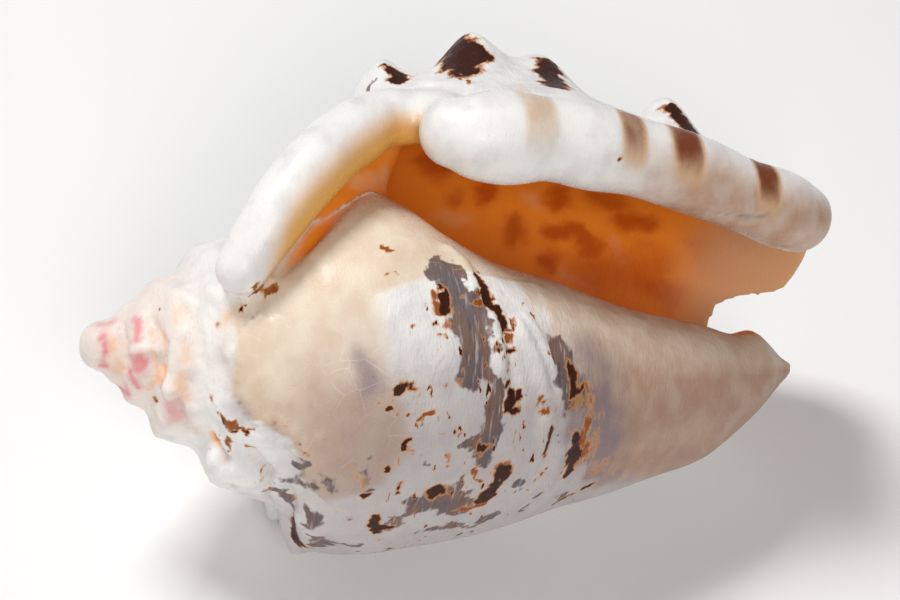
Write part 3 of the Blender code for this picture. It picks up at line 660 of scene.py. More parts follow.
            (0.7, 0.35, (40.4, 77, 16.4), (41.5, 84, 16.5), (42.6, 93, 16.5), (43.3, 99, 16.5)),
            (0.6, 0.3, (41.6, 74, 16.0), (43.6, 88, 16.0), (45.2, 100, 15.9)),
            (0.9, 0.3, (44.0, 110, 16.6), (43.5, 124, 17.1)),
            (1.0, 0.3, (46.2, 122, 16.2), (46.0, 138, 16.5)))),
        (Kind.DENT, (
            (0.5, 0.25, (36.4, 66, 16.7), (38.6, 84, 17.3), (39.3, 98, 17.7)),
            (0.25, 0.3, (3.3, 50, 3.4), (3.5, 86, 3.7), (3.6, 123, 3.8)),
            (0.3, 0.3, (5.7, 56, 5.3), (6.7, 86, 6.9), (6.7, 121, 6.9)),
            (0.35, 0.35, (8.1, 126, 8.4), (9.7, 148, 9.2)),
            (0.35, 0.45, (11.8, 141, 10.9), (13.2, 144, 13.0), (15.3, 173, 14.1)),
            (0.3, 0.35, (15.2, 135, 13.6), (17.4, 143, 14.5), (18.9, 168, 15.3)),
            (0.3, 0.3, (19.6, 150, 15.4), (20.7, 155, 16.7)),
            (0.29, 0.2, (8.3, 50, 7.7), (9.8, 80, 8.7), (10.1, 95, 9.0)))),
        # painted shade: soft lilac-grey patches where the shell lies in shade
        (Kind.SHADE, (
            (0.12, 0.9, (60.8, 43, 22.3), (63.0, 43, 22.1), (65.3, 44, 21.9), (67.5, 43, 22.2),
             (70.0, 43, 22.4)),
            (1.16, 0.5, (23.3, 90, 17.8), (24.5, 98, 18.3)),
            (0.97, 0.45, (12.9, 114, 12.7), (13.9, 117, 13.3)),
            (2.2, 0.5, (48.6, 84, 14.0), (51.2, 92, 13.5)),
            (2.3, 0.6, (50.4, 104, 14.2), (52.6, 124, 13.9)))),
        (Kind.TAN, (
            (2.89, 0.7, (21.8, 105, 17.5), (26.3, 102, 18.8)),
            (2.51, 0.6, (19.5, 100, 16.1), (21.1, 111, 17.1)),
            (1.36, 0.45, (11.4, 86, 11.2), (12.2, 98, 11.6)),
            (3.08, 1, (50.5, 105, 14.1), (56.7, 127, 12.7)),
            (2.07, 1, (51.1, 118, 14.3), (53.5, 148, 14.3)))),
        # deeper orange inside: partly its own darker mottling, partly painted shade along the lip and at
        # the front
        (Kind.INNER, (
            (1.47, 1, (48.5, 318, 25.0), (48.8, 316, 24.8)), (1.33, 0.7, (45.5, 314, 25.1)),
            (1.62, 0.9, (56.6, 322, 23.3), (56.7, 319, 23.2)),
            (1.48, 0.9, (52.9, 310, 23.7), (53.2, 306, 23.3)),
            (1.2, 1, (57.0, 309, 22.5), (59.6, 312, 21.9), (61.7, 307, 20.9)),
            (1.94, 1, (62.0, 307, 20.8)), (1.62, 1, (64.3, 320, 20.7), (66.5, 321, 20.0)),
            (1.49, 1, (57.5, 300, 21.6)), (1.91, 0.8, (60.7, 326, 22.1), (62.7, 325, 21.4)),
            (2.55, 0.8, (67.9, 300, 18.6), (71.6, 297, 17.3)),
            (2.39, 0.6, (73.2, 319, 17.8), (75.5, 312, 16.7)),
            (1.74, 0.8, (40.5, 327, 25.8), (42.8, 322, 25.8)),
            (2.09, 0.5, (67.1, 311, 19.4), (69.4, 311, 18.7)),
            (4.0, 0.7, (63.0, 300, 20.2), (69.0, 304, 18.6)))),
        # painted light: paler patches inside, where light comes through the lip
        (Kind.PALE, (
            (1.33, 0.9, (26.7, 16, 18.0), (30.5, 5, 18.4)),
            (1.36, 0.5, (44.2, 309, 24.8), (46.7, 308, 24.5)),
            (1.13, 0.4, (53.6, 319, 24.0), (55.0, 317, 23.5)),
            (1.15, 0.5, (58.9, 297, 20.9), (62.4, 295, 19.8)),
            (0.92, 0.4, (64.1, 312, 20.4), (65.3, 305, 19.6)))),
    )

    def fields(self, points: Array, kinds: Sequence[Kind]) -> Dict[Kind, Array]:
        """How strongly the marks cover points.

        Args:
            points: Points of the growth frame.
            kinds: The kinds of mark that are asked for.

        Returns:
            The cover of each kind at each point.
        """
        covers = {kind: np.zeros(len(points)) for kind in kinds}
        for kind, rows in self.marks:
            if kind not in covers:
                continue
            for width, strength, *line in rows:
                streak = Streak(kind, width, line, strength)
                covers[kind] = np.maximum(covers[kind], streak.cover(points))
        return covers


@dataclass(frozen=True)
class ShellFinish:
    """Colours of the shell, linear, its gloss, and its bump in metres."""

    white: Colour = (0.88, 0.87, 0.845)
    dull_white: Colour = (0.74, 0.72, 0.735)
    cream: Colour = (0.83, 0.72, 0.58)
    warm_cream: Colour = (0.75, 0.60, 0.465)
    tan: Colour = (0.47, 0.28, 0.185)
    # painted shade: the lilac-grey laid on the lower and shaded sides
    shade: Colour = (0.27, 0.20, 0.21)
    # painted shade with a painted orange reflection from the inside, on the finger's inner side
    shaded_finger_gold: Colour = (0.80, 0.41, 0.09)
    orange: Colour = (0.99, 0.33, 0.03)
    # painted light: the paler orange where light comes through the thin lip
    pale_orange: Colour = (0.98, 0.50, 0.22)
    # partly the inside's own darker mottling, partly painted shade
    deep_orange: Colour = (0.60, 0.115, 0.006)
    front_orange: Colour = (0.72, 0.42, 0.22)
    pink: Colour = (0.79, 0.32, 0.34)
    peach: Colour = (0.85, 0.53, 0.35)
    brown: Colour = (0.028, 0.005, 0.002)
    rust: Colour = (0.30, 0.064, 0.003)
    grey: Colour = (0.115, 0.08, 0.088)
    grey_brown: Colour = (0.165, 0.085, 0.06)
    band: Colour = (0.19, 0.048, 0.016)
    pale_rust: Colour = (0.62, 0.33, 0.16)
    pale_band: Colour = (0.66, 0.42, 0.24)
    specular: float = 0.2
    coat: float = 0.06
    coat_roughness: float = 0.15
    bump_strength: float = 0.3
    bump_distance: float = 0.0004

    def build(self) -> bpy.types.Material:
        """Makes the shell's material."""
        graph = Graph("shell_glaze")
        growth = graph.attribute("growth", "Vector")
        cream, tan, inside, shade = graph.split(graph.attribute("base", "Color"))
        brown, grey, rust, inner = graph.split(graph.attribute("spots", "Color"))
        pink, peach, bands, shaded_finger_gold = graph.split(graph.attribute("tints", "Color"))
        pale, white, mottle, front = graph.split(graph.attribute("fields", "Color"))
        specks, callus, on_lip, on_finger = graph.split(graph.attribute("covers", "Color"))
        cloud = graph.noise(growth, 3.0, 3, (1.3, 1, 1))
        fine = graph.noise(growth, 16, 5, (1.8, 0.8, 0.8))
        ragged = graph.math("SUBTRACT", fine, 0.5)
        ground = graph.mix(self.white, self.dull_white, graph.ramp(cloud, 0.4, 0.7, 0, 0.8))
        soft_cream = graph.mix(self.cream, self.warm_cream, graph.ramp(cloud, 0.3, 0.7, 0, 1))
        colour = graph.mix(ground, soft_cream, cream)
        tan_share = graph.scaled(tan, cloud, 0.3, 0.7, 0.75, 1.0)
        for tint, share in ((self.tan, tan_share), (self.shade, shade), (self.peach, peach),
                            (self.pink, pink)):
            colour = graph.mix(colour, tint, share)
        band = graph.scaled(bands, cloud, 0.3, 0.7, 0.85, 1.05)
        colour = graph.mix(colour, self.pale_band, graph.ramp(band, 0.05, 0.5, 0, 0.8))
        colour = graph.mix(colour, self.band, graph.ramp(band, 0.35, 1.0, 0, 1))
        # grey patches, those on the back wild
        hidden = graph.noise(growth, 2.6, 5, (1.5, 0.8, 0.8))
        wild = graph.scaled(mottle, hidden, 0.42, 0.68, 0, 1)
        grey_field = graph.math("ADD", graph.math("MAXIMUM", grey, wild),
                                graph.math("MULTIPLY", ragged, 0.55))
        grey_field = graph.math("SUBTRACT", grey_field, white)
        slate = graph.mix(self.grey, self.grey_brown, graph.ramp(hidden, 0.42, 0.58, 0, 1))
        strands = graph.noise(growth, 9, 4, (3.2, 0.45, 0.45))
        slate = graph.mix(slate, self.dull_white, graph.ramp(strands, 0.55, 0.75, 0, 0.45))
        slate = graph.mix(slate, self.brown, graph.ramp(strands, 0.44, 0.28, 0, 0.55))
        colour = graph.mix(colour, slate, graph.ramp(grey_field, 0.26, 0.60, 0, 0.92))
        # brown patches with rusty edges
        wild_brown = graph.noise(growth, 4.2, 5, (1.5, 0.8, 0.8))
        wilder = graph.scaled(mottle, wild_brown, 0.50, 0.72, 0, 1)
        spotty = graph.noise(growth, 7.5, 3, (1.6, 0.7, 0.7))
        spotty = graph.scaled(specks, spotty, 0.60, 0.72, 0, 0.62)
        brown_all = graph.math("MAXIMUM", graph.math("MAXIMUM", brown, wilder), spotty)
        brown_field = graph.math("ADD", brown_all, graph.math("MULTIPLY", ragged, 0.7))
        rust_field = graph.math("ADD", rust, graph.math("MULTIPLY", ragged, 0.9))
        rust_field = graph.math("MAXIMUM", rust_field, graph.math("ADD", brown_field, 0.18))
        colour = graph.mix(colour, self.pale_rust, graph.ramp(rust_field, 0.28, 0.60, 0, 0.8))
        colour = graph.mix(colour, self.rust, graph.ramp(rust_field, 0.46, 0.74, 0, 0.95))
        colour = graph.mix(colour, self.brown, graph.ramp(brown_field, 0.46, 0.60, 0, 0.96))
        # the orange inside, soft: paler with painted light through the lip, deeper with mottles and
        # painted shade
        drift = graph.math("MULTIPLY", graph.math("SUBTRACT", cloud, 0.5), 0.5)
        # paler orange where painted light comes through the lip, varied by the cloud
        paler = graph.ramp(graph.math("ADD", pale, drift), 0.05, 0.8, 0, 0.8)
        orange_lit_and_shaded = graph.mix(self.orange, self.pale_orange, paler)
        # deeper orange of the inside's mottles and of its painted shade
        depth = graph.math("ADD", inner, graph.math("MULTIPLY", ragged, 0.25))
        orange_lit_and_shaded = graph.mix(orange_lit_and_shaded, self.deep_orange, graph.ramp(depth, 0.02, 1.0, 0, 0.95))
        orange_lit_and_shaded = graph.mix(orange_lit_and_shaded, self.front_orange, front)
        colour = graph.mix(colour, orange_lit_and_shaded, inside)
        colour = graph.mix(colour, self.shaded_finger_gold, shaded_finger_gold)
        # fine white cracks of the callus
        crack = graph.crackle(growth, 3.4)
        some = graph.scaled(callus, hidden, 0.42, 0.6, 0, 0.28)
        thin = graph.scaled(some, crack, 0.0, 0.016, 1, 0)
        colour = graph.mix(colour, self.white, thin)
        graph.link(colour, graph.surface.inputs["Base Color"])
        gloss = graph.math("MAXIMUM", graph.math("MAXIMUM", callus, on_lip), on_finger)
        rough = graph.math("SUBTRACT", graph.ramp(fine, 0.3, 0.7, 0.40, 0.58),
                           graph.math("MULTIPLY", gloss, 0.2))
        graph.link(rough, graph.surface.inputs["Roughness"])
        graph.surface.inputs["Specular IOR Level"].default_value = self.specular
        graph.surface.inputs["Coat Weight"].default_value = self.coat
        graph.surface.inputs["Coat Roughness"].default_value = self.coat_roughness
        calm = graph.math("MAXIMUM", gloss, inside)
        lines = graph.scaled(graph.noise(growth, 20, 4, (2.2, 0.5, 0.5)), calm, 0, 1, 1.0, 0.2)
        grain = graph.noise(growth, 60, 3, (1, 1, 1))
        relief = graph.math("ADD", lines, graph.math("MULTIPLY", grain, 0.3))
        pits = graph.ramp(graph.noise(growth, 26, 2, (1, 1, 1)), 0.70, 0.78, 0, -1.2)
        lumps = graph.scaled(graph.noise(growth, 6.5, 2, (1, 1, 1)), calm, 0, 1, 2.2, 0)
        relief = graph.math("ADD", graph.math("ADD", relief, pits), lumps)
        graph.bump(relief, self.bump_strength, self.bump_distance)
        return graph.material


class Graph:
    """A material's nodes, added one at a time."""

    def __init__(self, name: str) -> None:
        """Starts a material with its Principled shader."""
        self.material = bpy.data.materials.new(name)
        self.material.use_nodes = True
        self.tree = self.material.node_tree
        self.surface = self.tree.nodes["Principled BSDF"]

    def link(self, source: object, target: bpy.types.NodeSocket) -> None:
        """Connects a socket, or sets a value, on a target socket."""
        if isinstance(source, bpy.types.NodeSocket):
            self.tree.links.new(source, target)
        elif isinstance(source, tuple):
            target.default_value = (*source, 1.0) if len(target.default_value) == 4 else source
        else:
            target.default_value = source

    def attribute(self, name: str, output: str) -> bpy.types.NodeSocket:
        """Reads one of the piece's attributes."""
        node = self.tree.nodes.new("ShaderNodeAttribute")
        node.attribute_name = name
        return node.outputs[output]

    def split(self, colour: bpy.types.NodeSocket) -> List[bpy.types.NodeSocket]:
        """The red, green and blue of a colour, and its alpha."""
        node = self.tree.nodes.new("ShaderNodeSeparateColor")
        self.link(colour, node.inputs[0])
        return [*node.outputs[:3], colour.node.outputs["Alpha"]]

    def noise(self, where: bpy.types.NodeSocket, scale: float, detail: float,
              stretch: Tuple[float, float, float]) -> bpy.types.NodeSocket:
        """Noise over a stretched pattern space.

        Args:
            where: The pattern's coordinates.
            scale: The noise's scale.
            detail: How fine it goes.
            stretch: Factors along the pattern's three axes.

        Returns:
            The noise's value.
        """
        mapping = self.tree.nodes.new("ShaderNodeMapping")
        self.link(where, mapping.inputs["Vector"])
        mapping.inputs["Scale"].default_value = stretch
        node = self.tree.nodes.new("ShaderNodeTexNoise")
        self.link(mapping.outputs[0], node.inputs["Vector"])
        node.inputs["Scale"].default_value = scale
        node.inputs["Detail"].default_value = detail
        return node.outputs[0]

    def crackle(self, where: bpy.types.NodeSocket, scale: float) -> bpy.types.NodeSocket:
        """Distance to the edges of a net of cells."""
        node = self.tree.nodes.new("ShaderNodeTexVoronoi")
        node.feature = "DISTANCE_TO_EDGE"
        self.link(where, node.inputs["Vector"])
        node.inputs["Scale"].default_value = scale
        return node.outputs["Distance"]

    def math(self, operation: str, a: object, b: object) -> bpy.types.NodeSocket:
        """One arithmetic step on two values."""
        node = self.tree.nodes.new("ShaderNodeMath")
        node.operation = operation
        self.link(a, node.inputs[0])
        self.link(b, node.inputs[1])
        return node.outputs[0]

    def ramp(self, value: object, low: float, high: float, start: float,
             finish: float) -> bpy.types.NodeSocket:
        """Eases a value between low and high to a value between start and finish."""
        node = self.tree.nodes.new("ShaderNodeMapRange")
        node.interpolation_type = "SMOOTHSTEP"
        self.link(value, node.inputs["Value"])
        node.inputs["From Min"].default_value = low
        node.inputs["From Max"].default_value = high
        node.inputs["To Min"].default_value = start
        node.inputs["To Max"].default_value = finish
        return node.outputs[0]

    def scaled(self, amount: object, value: object, *ramp: float) -> bpy.types.NodeSocket:
        """An amount times the ramp of another value."""
        return self.math("MULTIPLY", amount, self.ramp(value, *ramp))

    def mix(self, a: object, b: object, share: object) -> bpy.types.NodeSocket:
        """Mixes colour b over colour a."""
        node = self.tree.nodes.new("ShaderNodeMix")
        node.data_type = "RGBA"
        node.clamp_factor = True
        self.link(share, node.inputs["Factor"])
        self.link(a, node.inputs[6])
        self.link(b, node.inputs[7])
        return node.outputs[2]

    def bump(self, height: object, strength: float, distance: float) -> None:
        """Adds a bump to the shader."""
        node = self.tree.nodes.new("ShaderNodeBump")
        node.inputs["Strength"].default_value = strength
        node.inputs["Distance"].default_value = distance
        self.link(height, node.inputs["Height"])
        self.link(node.outputs[0], self.surface.inputs["Normal"])


@dataclass
class Shell:
    """The whole shell: its grown body, its hollow, the rolled lip and finger, and its paint."""

    law: GrowthLaw = field(default_factory=GrowthLaw)
    rest: Rest = field(default_factory=Rest)
    finish: ShellFinish = field(default_factory=ShellFinish)
    pattern: Pattern = field(default_factory=Pattern)
    lip_bands: Points = ((41.0, 2.2, 0.38), (51.5, 1.5, 0.8), (57.8, 1.9, 1.0), (67.8, 1.6, 0.98))
    callus_left: Points = (
        (80, 12.5), (109, 12.5), (116, 13.8), (122, 18), (141, 21.4), (142, 30))
    callus_right: Points = (
        (30, 46), (50, 44), (60, 34), (72, 25.2), (97, 26.0), (115, 28.5), (128, 27.0), (141, 22))
    front_edge: Points = (
        (0, 36), (40, 38), (62, 42), (85, 45.3), (100, 47.3), (120, 48.8), (140, 51.8), (170, 60),
        (215, 75))
    finger: Roll = Roll("finger_roll", (
        (12.6, -12.5, 8.2, 2.6), (15.1, -13.2, 12.6, 3.1), (18.7, -12.4, 17.4, 3.4),
        (23.8, -9.8, 21.7, 3.4), (28.6, -7.8, 24.1, 3.0), (34.5, -8.2, 24.6, 2.6)))
    lip: Roll = Roll("lip_roll", (
        (33.6, -13.6, 22.6, 3.6), (35.5, -14.2, 22.4, 4.4), (38.7, -14.3, 22.4, 4.8),
        (43.6, -13.8, 22.6, 4.3), (48.6, -13.6, 22.1, 4.5), (53.5, -13.5, 21.4, 4.1),
        (59.3, -13.0, 20.2, 4.2), (66.4, -12.0, 18.2, 3.9), (71.0, -10.8, 17.2, 4.2),
        (74.0, -9.6, 16.4, 3.9)))
    canal: Roll = Roll("canal", (
        (14.9, -13.0, 6.4, 0.5), (17.0, -12.0, 8.9, 1.1), (20.0, -10.8, 12.1, 1.4),
        (23.1, -8.6, 15.5, 1.6), (26.2, -6.5, 18.2, 1.9), (30.0, -5.0, 20.6, 2.9),
        (34.0, -4.2, 20.8, 4.1), (38.0, -3.0, 19.6, 4.8), (44.0, -3.0, 18.4, 5.4)))
    body_rings: int = 190
    body_sides: int = 260
    hollow_rows: int = 130
    hollow_columns: int = 100
    hollow_start: float = 215.0
    past_lip: float = 26.0
    hollow_end: float = 98.0
    voxel: float = 0.5
    mark_rise: float = 1.7
    glaze_rise: float = 0.35
    pattern_unit: float = 10.0
    soft_levels: int = 10

    def body(self) -> bpy.types.Object:
        """Models the solid inside the outer surface, once round from the lip's foot to its edge."""
        law = self.law

        def skin(ring: Array, side: Array) -> Array:
            s = (ring / (self.body_rings - 1)) ** 1.15
            c = 0.998 * side / (self.body_sides - 1)
            end = smooth_curve(law.margin, law.lip_phi + 360 * c)
            x = law.tip_x + s * (end - law.tip_x)
            theta = law.lip(x) + 360 * c
            return place(x, theta, law.radius(x, theta))

        ends = ((law.tip_x - 0.03, 0, 0), (law.columella_end, 0, 0))
        return Tools.ball("shell_body", self.body_rings, self.body_sides, skin, ends)

    def hollow_skins(self, x: Array, share: Array) -> Tuple[Array, Array, Array]:
        """Growth angle, outer radius and inner radius of the hollow.

        Args:
            x: Places along the axis.
            share: 0 at the hollow's inner end, 1 past the lip.

        Returns:
            The growth angle and the two radii.
        """
        lip = self.law.lip(x) + 360
        theta = self.hollow_start + (lip + self.past_lip - self.hollow_start) * share
        outer = self.law.inner_radius(x, np.minimum(theta, lip))
        inner = self.law.radius(x, theta - 360) + 0.05
        return theta, outer, inner

    def hollow(self) -> bpy.types.Object:
        """Models the space under the last turn."""
        scan = np.arange(8.0, 53.0, 0.25)
        shares = np.linspace(0, 1, self.hollow_columns)
        first = []
        for share in shares:
            _, outer, inner = self.hollow_skins(scan, share)
            closed = np.where(outer - inner < 0.6)[0]
            first.append(scan[min(closed[-1] + 1, len(scan) - 1)] if len(closed) else scan[0])
        starts = np.array(first)

        def skins(row: Array, column: Array) -> Tuple[Array, Array]:
            start = starts[column]
            x = start + (self.hollow_end - start) * (row / (self.hollow_rows - 1)) ** 1.2
            theta, outer, inner = self.hollow_skins(x, shares[column])
            narrow = 0.7 * (1 - smooth_step(0, 0.8, x - start))
            middle = 0.5 * (outer + inner)
            inner = inner + (middle - inner) * narrow
            outer = np.maximum(outer + (middle - outer) * narrow, inner + 0.15)
            return place(x, theta, inner), place(x, theta, outer)

        return Tools.slab("hollow", self.hollow_rows, self.hollow_columns, skins)

    def model(self) -> bpy.types.Object:
        """Models the shell: cuts its hollow and canal, grows its rolls on, and melts them together."""
        shell = self.body()
        for tool in (self.canal.build(), self.hollow()):
            Tools.apply(shell, "BOOLEAN", operation="DIFFERENCE", solver="EXACT", object=tool)
            LOG.info("cut %s: %d faces", tool.name, len(shell.data.polygons))
            bpy.data.objects.remove(tool)
        rolls = [self.finger.build(), self.lip.build()]
        Tools.only(shell)
        for roll in rolls:
            roll.select_set(True)
        bpy.ops.object.join()
        Tools.apply(shell, "REMESH", mode="VOXEL", voxel_size=self.voxel * MM)
        Tools.apply(shell, "SMOOTH", factor=0.5, iterations=4)
        p = Tools.get_points(shell)
        x, _, rho, gap = self.growth_places(p)
        lip_far, finger_far = self.lip.reach(p)[0], self.finger.reach(p)[0]
        near_roll = smooth_step(2.2, 0.6, np.minimum(np.abs(lip_far), np.abs(finger_far)))
        crease = near_roll * smooth_step(2.0, 0.5, np.abs(gap)) * (rho > 19)
        deep = smooth_step(2.0, 4.0, gap) * smooth_step(44, 38, x)
        self.soften(shell, np.clip(crease, 0, 1), 40)
        self.soften(shell, deep, 60)
        Tools.only(shell)
        bpy.ops.object.shade_smooth()
        shell.name = "shell_skin"
        LOG.info("shell skin: %d faces", len(shell.data.polygons))
        return shell

    def growth_places(self, points: Array) -> Tuple[Array, Array, Array, Array]:
        """Reads where points lie on the grown shell.

        Args:
            points: Points of the growth frame.

        Returns:
            Their x, their angle phi, their distance from the axis, and how far they lie under the
            outer surface.
        """
        x = points[:, 0]
        phi = np.degrees(np.arctan2(-points[:, 1], points[:, 2])) % 360
        rho = np.hypot(points[:, 1], points[:, 2])
        theta = np.where(phi < self.law.lip(x), phi + 360, phi)
        return x, phi, rho, self.law.radius(x, theta) - rho

    def soften(self, shell: bpy.types.Object, share: Array, rounds: int) -> None:
        """Smooths the shell where a field says so.

        Args:
            shell: The shell.
            share: How strongly each vertex is smoothed, 0 to 1.
            rounds: How many rounds of smoothing.
        """
        group = shell.vertex_groups.new(name="soft")
        for level in range(1, self.soft_levels + 1):
            chosen = np.where(np.rint(share * self.soft_levels).astype(int) == level)[0]
            if len(chosen):
                group.add([int(k) for k in chosen], level / self.soft_levels, "REPLACE")
        Tools.apply(shell, "SMOOTH", factor=0.5, iterations=rounds, vertex_group="soft")
        shell.vertex_groups.remove(shell.vertex_groups["soft"])

    def callus_edge(self, phi: Array) -> Tuple[Array, Array]:
        """Where the callus starts and ends along the axis, at angles round it."""
        return smooth_curve(self.callus_left, phi), smooth_curve(self.callus_right, phi)

    def raise_marks(self, shell: bpy.types.Object) -> None:
        """Raises the small knobs and the callus' edge, and sinks the sutures, a little.

        Args:
            shell: The modelled shell, still in the growth frame.
        """
        p = Tools.get_points(shell)
        normals = np.zeros(len(p) * 3, np.float32)
        shell.data.vertices.foreach_get("normal", normals)
        marks = self.pattern.fields(p, RELIEF)
        x, phi, _, gap = self.growth_places(self.wobble(p))
        left, _ = self.callus_edge(phi)
        glaze = smooth_step(-0.25, 0.25, x - left) * (phi > 75) * (phi < 141)
        glaze = glaze * smooth_step(5.5, 1.5, x - left) * (np.abs(gap) < 1.5)
        height = self.mark_rise * (marks[Kind.KNOB] - marks[Kind.DENT]) + self.glaze_rise * glaze
        Tools.set_points(shell, p + normals.reshape(-1, 3) * height[:, None])

    def paint(self, shell: bpy.types.Object) -> None:
        """Stores the shell's colour fields at its vertices.

        Args:
            shell: The modelled shell, still in the growth frame.
        """
        p = Tools.get_points(shell)
        x, phi, rho, gap = self.growth_places(p)
        lip_at = self.law.lip(x)
        lip_far, lip_offset = self.lip.reach(p)
        finger_far, finger_offset = self.finger.reach(p)
        on_lip = smooth_step(1.6, 0.2, lip_far)
        on_finger = smooth_step(1.2, 0.2, finger_far)
        outer = (gap < 1.0) * 1.0
        uneven = self.wobble(p)
        marks = {**self.pattern.fields(uneven, CRISP), **self.pattern.fields(p, RELIEF),
                 **self.pattern.fields(0.4 * p + 0.6 * uneven, SOFT)}
        # painted shade in the sutures and dents of the spire
        painted_valley_shade = 1.3 * marks[Kind.DENT] * smooth_step(26, 20, x)
        gap = gap - self.mark_rise * marks[Kind.DENT]
        # the pillar's crest, where it turns into the aperture
        crest = smooth_step(lip_at + 12, lip_at - 4, phi) * smooth_step(28, 32, x)
        crest = crest * (phi < lip_at + 30) * (gap < 1.5) * (rho < 19.0)
        depth = np.where(x < 29, smooth_step(0.5, 1.2, gap), smooth_step(1.0, 2.0, gap))
        inside = np.maximum(depth, crest) * (1 - on_lip) * (1 - on_finger)
        front_at = smooth_curve(self.front_edge, phi)
        facing = outer * smooth_step(215, 190, phi) * (phi > lip_at + 1) * (1 - on_lip)
        facing = facing * (1 - on_finger)
        ahead = x - front_at + 0.9 * np.sin(2.3 * x + 0.06 * phi) + 0.5 * np.sin(0.5 * phi)
        tan = smooth_step(-1.5, 8, ahead) * facing
        border = np.exp(-((ahead - 0.8) / 1.9) ** 2) * smooth_step(88, 104, phi) * facing
        border = border * smooth_step(165, 140, phi)
        left, right = self.callus_edge(phi)
        callus = smooth_step(-0.3, 0.3, x - left) * smooth_step(1.2, -1.2, x - right)
        callus = callus * (phi < 142) * facing
        cream = np.clip(callus + smooth_step(-2, 3, ahead) * facing, 0, 1)
        # the callus' lower part tanner: partly its own pinkish tan, partly painted shade towards the
        # bottom
        low_callus_tan_and_shade = callus * smooth_step(90, 120, phi)
        across = lip_offset[:, 2]
        bands = np.zeros_like(x)
        for centre, half, deep in self.lip_bands:
            bands = np.maximum(bands, deep * smooth_step(half * 1.35, half * 0.6, np.abs(x - centre)))
        bands = bands * on_lip * smooth_step(-0.95, 0.5, across)
        lip_tan = on_lip * smooth_step(0.9, -0.3, across) * smooth_step(46, 62, x)
        inner_side = finger_offset @ np.array((0.62, -0.30, -0.72))
        # the finger's inner side: painted shade with a painted orange reflection from the inside
        shaded_finger_gold = on_finger * smooth_step(-0.1, 0.85, inner_side) * smooth_step(13.5, 17, x)
        mottle = smooth_step(215, 245, phi) * smooth_step(352, 335, phi) * smooth_step(9, 16, x)
        mottle = mottle * smooth_step(74, 60, x) * outer
        front = smooth_step(69, 77, x) * 0.9
        specks = smooth_step(24, 30, x) * smooth_step(-1, -6, x - front_at) * facing * (phi > 70)
        for kind in CRISP:
            marks[kind] = marks[kind] * (1 - inside)
        blush = 0.26 * smooth_step(13, 6, x)
        marks[Kind.RUST] = np.maximum(marks[Kind.RUST], 0.5 * border)
        # painted shade on the lower side, which turns away from the light, with the front border's brown
        # haze added
        low_shade_and_border_haze = 0.56 * smooth_step(60, 118, phi) * smooth_step(14, 26, x) * facing
        low_shade_and_border_haze = low_shade_and_border_haze * (1 - 0.85 * smooth_step(0, 6, ahead)) + 0.45 * border
        # the lower front end browner: partly its own tan, partly painted shade towards the bottom
        low_front_tan_and_shade = 0.7 * smooth_step(68, 130, phi) * smooth_step(-1, 9, x - front_at) * facing
        tan = 0.38 * tan + 1.9 * low_front_tan_and_shade + 0.45 * low_callus_tan_and_shade + painted_valley_shade + 1.1 * lip_tan
        tan = tan + marks[Kind.TAN] * 0.6
        # painted shade: the shade marks, the lower side and part of the lower front
        shade = 1.2 * marks[Kind.SHADE] + low_shade_and_border_haze + 0.3 * low_front_tan_and_shade
        self.store(shell, "base", (cream, tan, inside, shade))
        self.store(shell, "spots", (marks[Kind.BROWN], marks[Kind.GREY], marks[Kind.RUST],
                                    marks[Kind.INNER]))
        self.store(shell, "tints", (1.9 * marks[Kind.PINK], 0.9 * marks[Kind.PEACH] + blush,
                                    bands, shaded_finger_gold))
        self.store(shell, "fields", (marks[Kind.PALE], marks[Kind.WHITE], mottle, front))
        self.store(shell, "covers", (specks, callus, on_lip, on_finger))
        growth = shell.data.attributes.new("growth", "FLOAT_VECTOR", "POINT")
        growth.data.foreach_set("vector", (p / self.pattern_unit).astype(np.float32).ravel())

    @staticmethod
    def wobble(points: Array) -> Array:
        """Points pushed about a little, so that what is measured from them has uneven edges."""
        moved = points.copy()
        for size, pitch in ((0.40, 1.9), (0.22, 4.3), (0.10, 8.1)):
            turn = points @ np.array(((0.8, 0.5, -0.3), (-0.4, 0.9, 0.6), (0.5, -0.2, 0.9))) * pitch
            moved += size * np.sin(turn[:, (1, 2, 0)] + 1.3 * np.sin(0.7 * turn))
        return moved

    @staticmethod
    def store(shell: bpy.types.Object, name: str, channels: Sequence[Array]) -> None:
        """Stores four fields as one colour attribute.

        Args:
            shell: The shell.
            name: The attribute's name.
            channels: The four fields, each clipped to 0..1.
        """
        data = np.clip(np.stack(channels, axis=1), 0, 1).astype(np.float32)
        layer = shell.data.attributes.new(name, "FLOAT_COLOR", "POINT")
        layer.data.foreach_set("color", data.ravel())

    def lay(self, shell: bpy.types.Object) -> None:
        """Turns the shell to how it lies, with its place in its mesh."""
        shell.data.transform(self.rest.matrix())
        shell.data.update()

    def build(self) -> bpy.types.Object:
        """Models, raises, paints and lays the shell, and dresses it in its glaze."""
        shell = self.model()
        self.raise_marks(shell)
        self.paint(shell)
        self.lay(shell)
        shell.data.materials.clear()
        shell.data.materials.append(self.finish.build())
        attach(shell, "root")
        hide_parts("shell")
        return shell


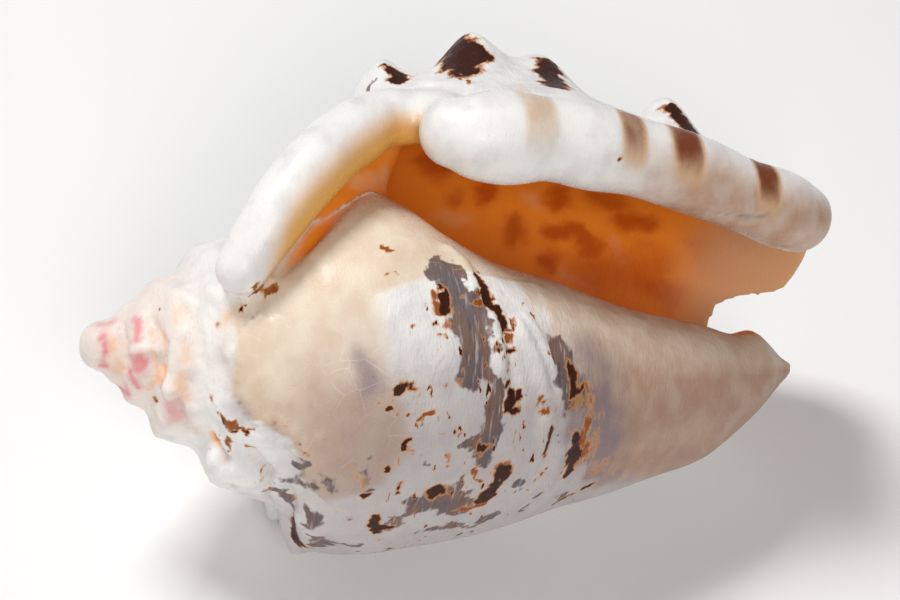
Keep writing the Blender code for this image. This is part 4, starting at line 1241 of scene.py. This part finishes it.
@dataclass(frozen=True)
class Studio:
    """A plain pale floor, soft lights and the camera."""

    rest: Rest = Rest()
    yaw: float = 20.0
    distance: float = 260.0
    focal: float = 98.8
    axis_x: float = 39.05
    axis_drop: float = 6.0
    axis_fall: float = 3.0 / 78.0
    middle: Tuple[float, float, float] = (0, 0, 0.026)
    floor_colour: Colour = (0.90, 0.90, 0.90)
    floor_radius: float = 3.0
    sky: float = 0.23

    def camera_matrix(self) -> Matrix:
        """The camera's place in the growth frame, turned with the shell."""
        a = math.radians(self.yaw)
        roll = math.atan(self.axis_fall / math.cos(a))
        forward = Vector((math.sin(a), math.cos(a), 0))
        right = Vector((math.cos(a), -math.sin(a), 0))
        up = Vector((0, 0, 1))
        right, up = (right * math.cos(roll) + up * math.sin(roll),
                     up * math.cos(roll) - right * math.sin(roll))
        eye = (Vector((self.axis_x, 0, 0)) + up * self.axis_drop - forward * self.distance) * MM
        turn = Matrix((right, up, -forward)).transposed()
        return self.rest.matrix() @ Matrix.Translation(eye) @ turn.to_4x4()

    def camera(self) -> bpy.types.Object:
        """Adds the camera at the photograph's viewing angle."""
        Tools.deselect()
        bpy.ops.object.camera_add()
        camera = bpy.context.object
        camera.name = "camera"
        camera.data.sensor_width = 36
        camera.data.lens = self.focal
        camera.data.clip_start = 0.01
        camera.matrix_world = self.camera_matrix()
        bpy.context.scene.camera = camera
        return camera

    def floor(self) -> bpy.types.Object:
        """Adds the floor under the shell."""
        Tools.deselect()
        bpy.ops.mesh.primitive_circle_add(vertices=96, radius=self.floor_radius, fill_type="NGON")
        floor = bpy.context.object
        floor.name = "floor"
        graph = Graph("floor_paper")
        graph.surface.inputs["Base Color"].default_value = (*self.floor_colour, 1)
        graph.surface.inputs["Roughness"].default_value = 0.9
        floor.data.materials.append(graph.material)
        return floor

    def light(self, name: str, view: Tuple[float, float, float], size: float, power: float,
              tint: Colour = (1, 1, 1)) -> bpy.types.Object:
        """Adds a soft square light that looks at the shell.

        Args:
            name: The light's name.
            view: Its place seen from the camera: right, up and towards the camera, in metres.
            size: Its side, in metres.
            power: Its power in watts.
            tint: Its colour.

        Returns:
            The light.
        """
        turn = self.camera_matrix().to_3x3()
        middle = Vector(self.middle)
        spot = middle + turn @ Vector(view)
        Tools.deselect()
        bpy.ops.object.light_add(type="AREA", location=spot)
        light = bpy.context.object
        light.name = name
        light.data.size = size
        light.data.energy = power
        light.data.color = tint
        light.rotation_euler = (middle - spot).to_track_quat("-Z", "Y").to_euler()
        return light

    def world(self, strength: float) -> None:
        """Sets an even pale light from all round."""
        world = bpy.data.worlds.new("studio")
        world.use_nodes = True
        background = world.node_tree.nodes["Background"]
        background.inputs["Color"].default_value = (1, 1, 1, 1)
        background.inputs["Strength"].default_value = strength
        bpy.context.scene.world = world

    def build(self) -> None:
        """Adds the floor, the lights and the camera."""
        self.floor()
        self.light("key", (-0.22, 0.64, 0.40), 0.22, 4.2)
        self.light("fill", (0.10, -0.10, 0.8), 0.3, 2.6, (1.0, 0.96, 0.91))
        self.world(self.sky)
        self.camera()
        bpy.context.scene.view_settings.view_transform = "Standard"


def main() -> None:
    """Builds the shell and the studio."""
    shell = Shell().build()
    LOG.info("%s: %d vertices", shell.name, len(shell.data.vertices))
    Studio().build()


if __name__ == "__main__":
    main()
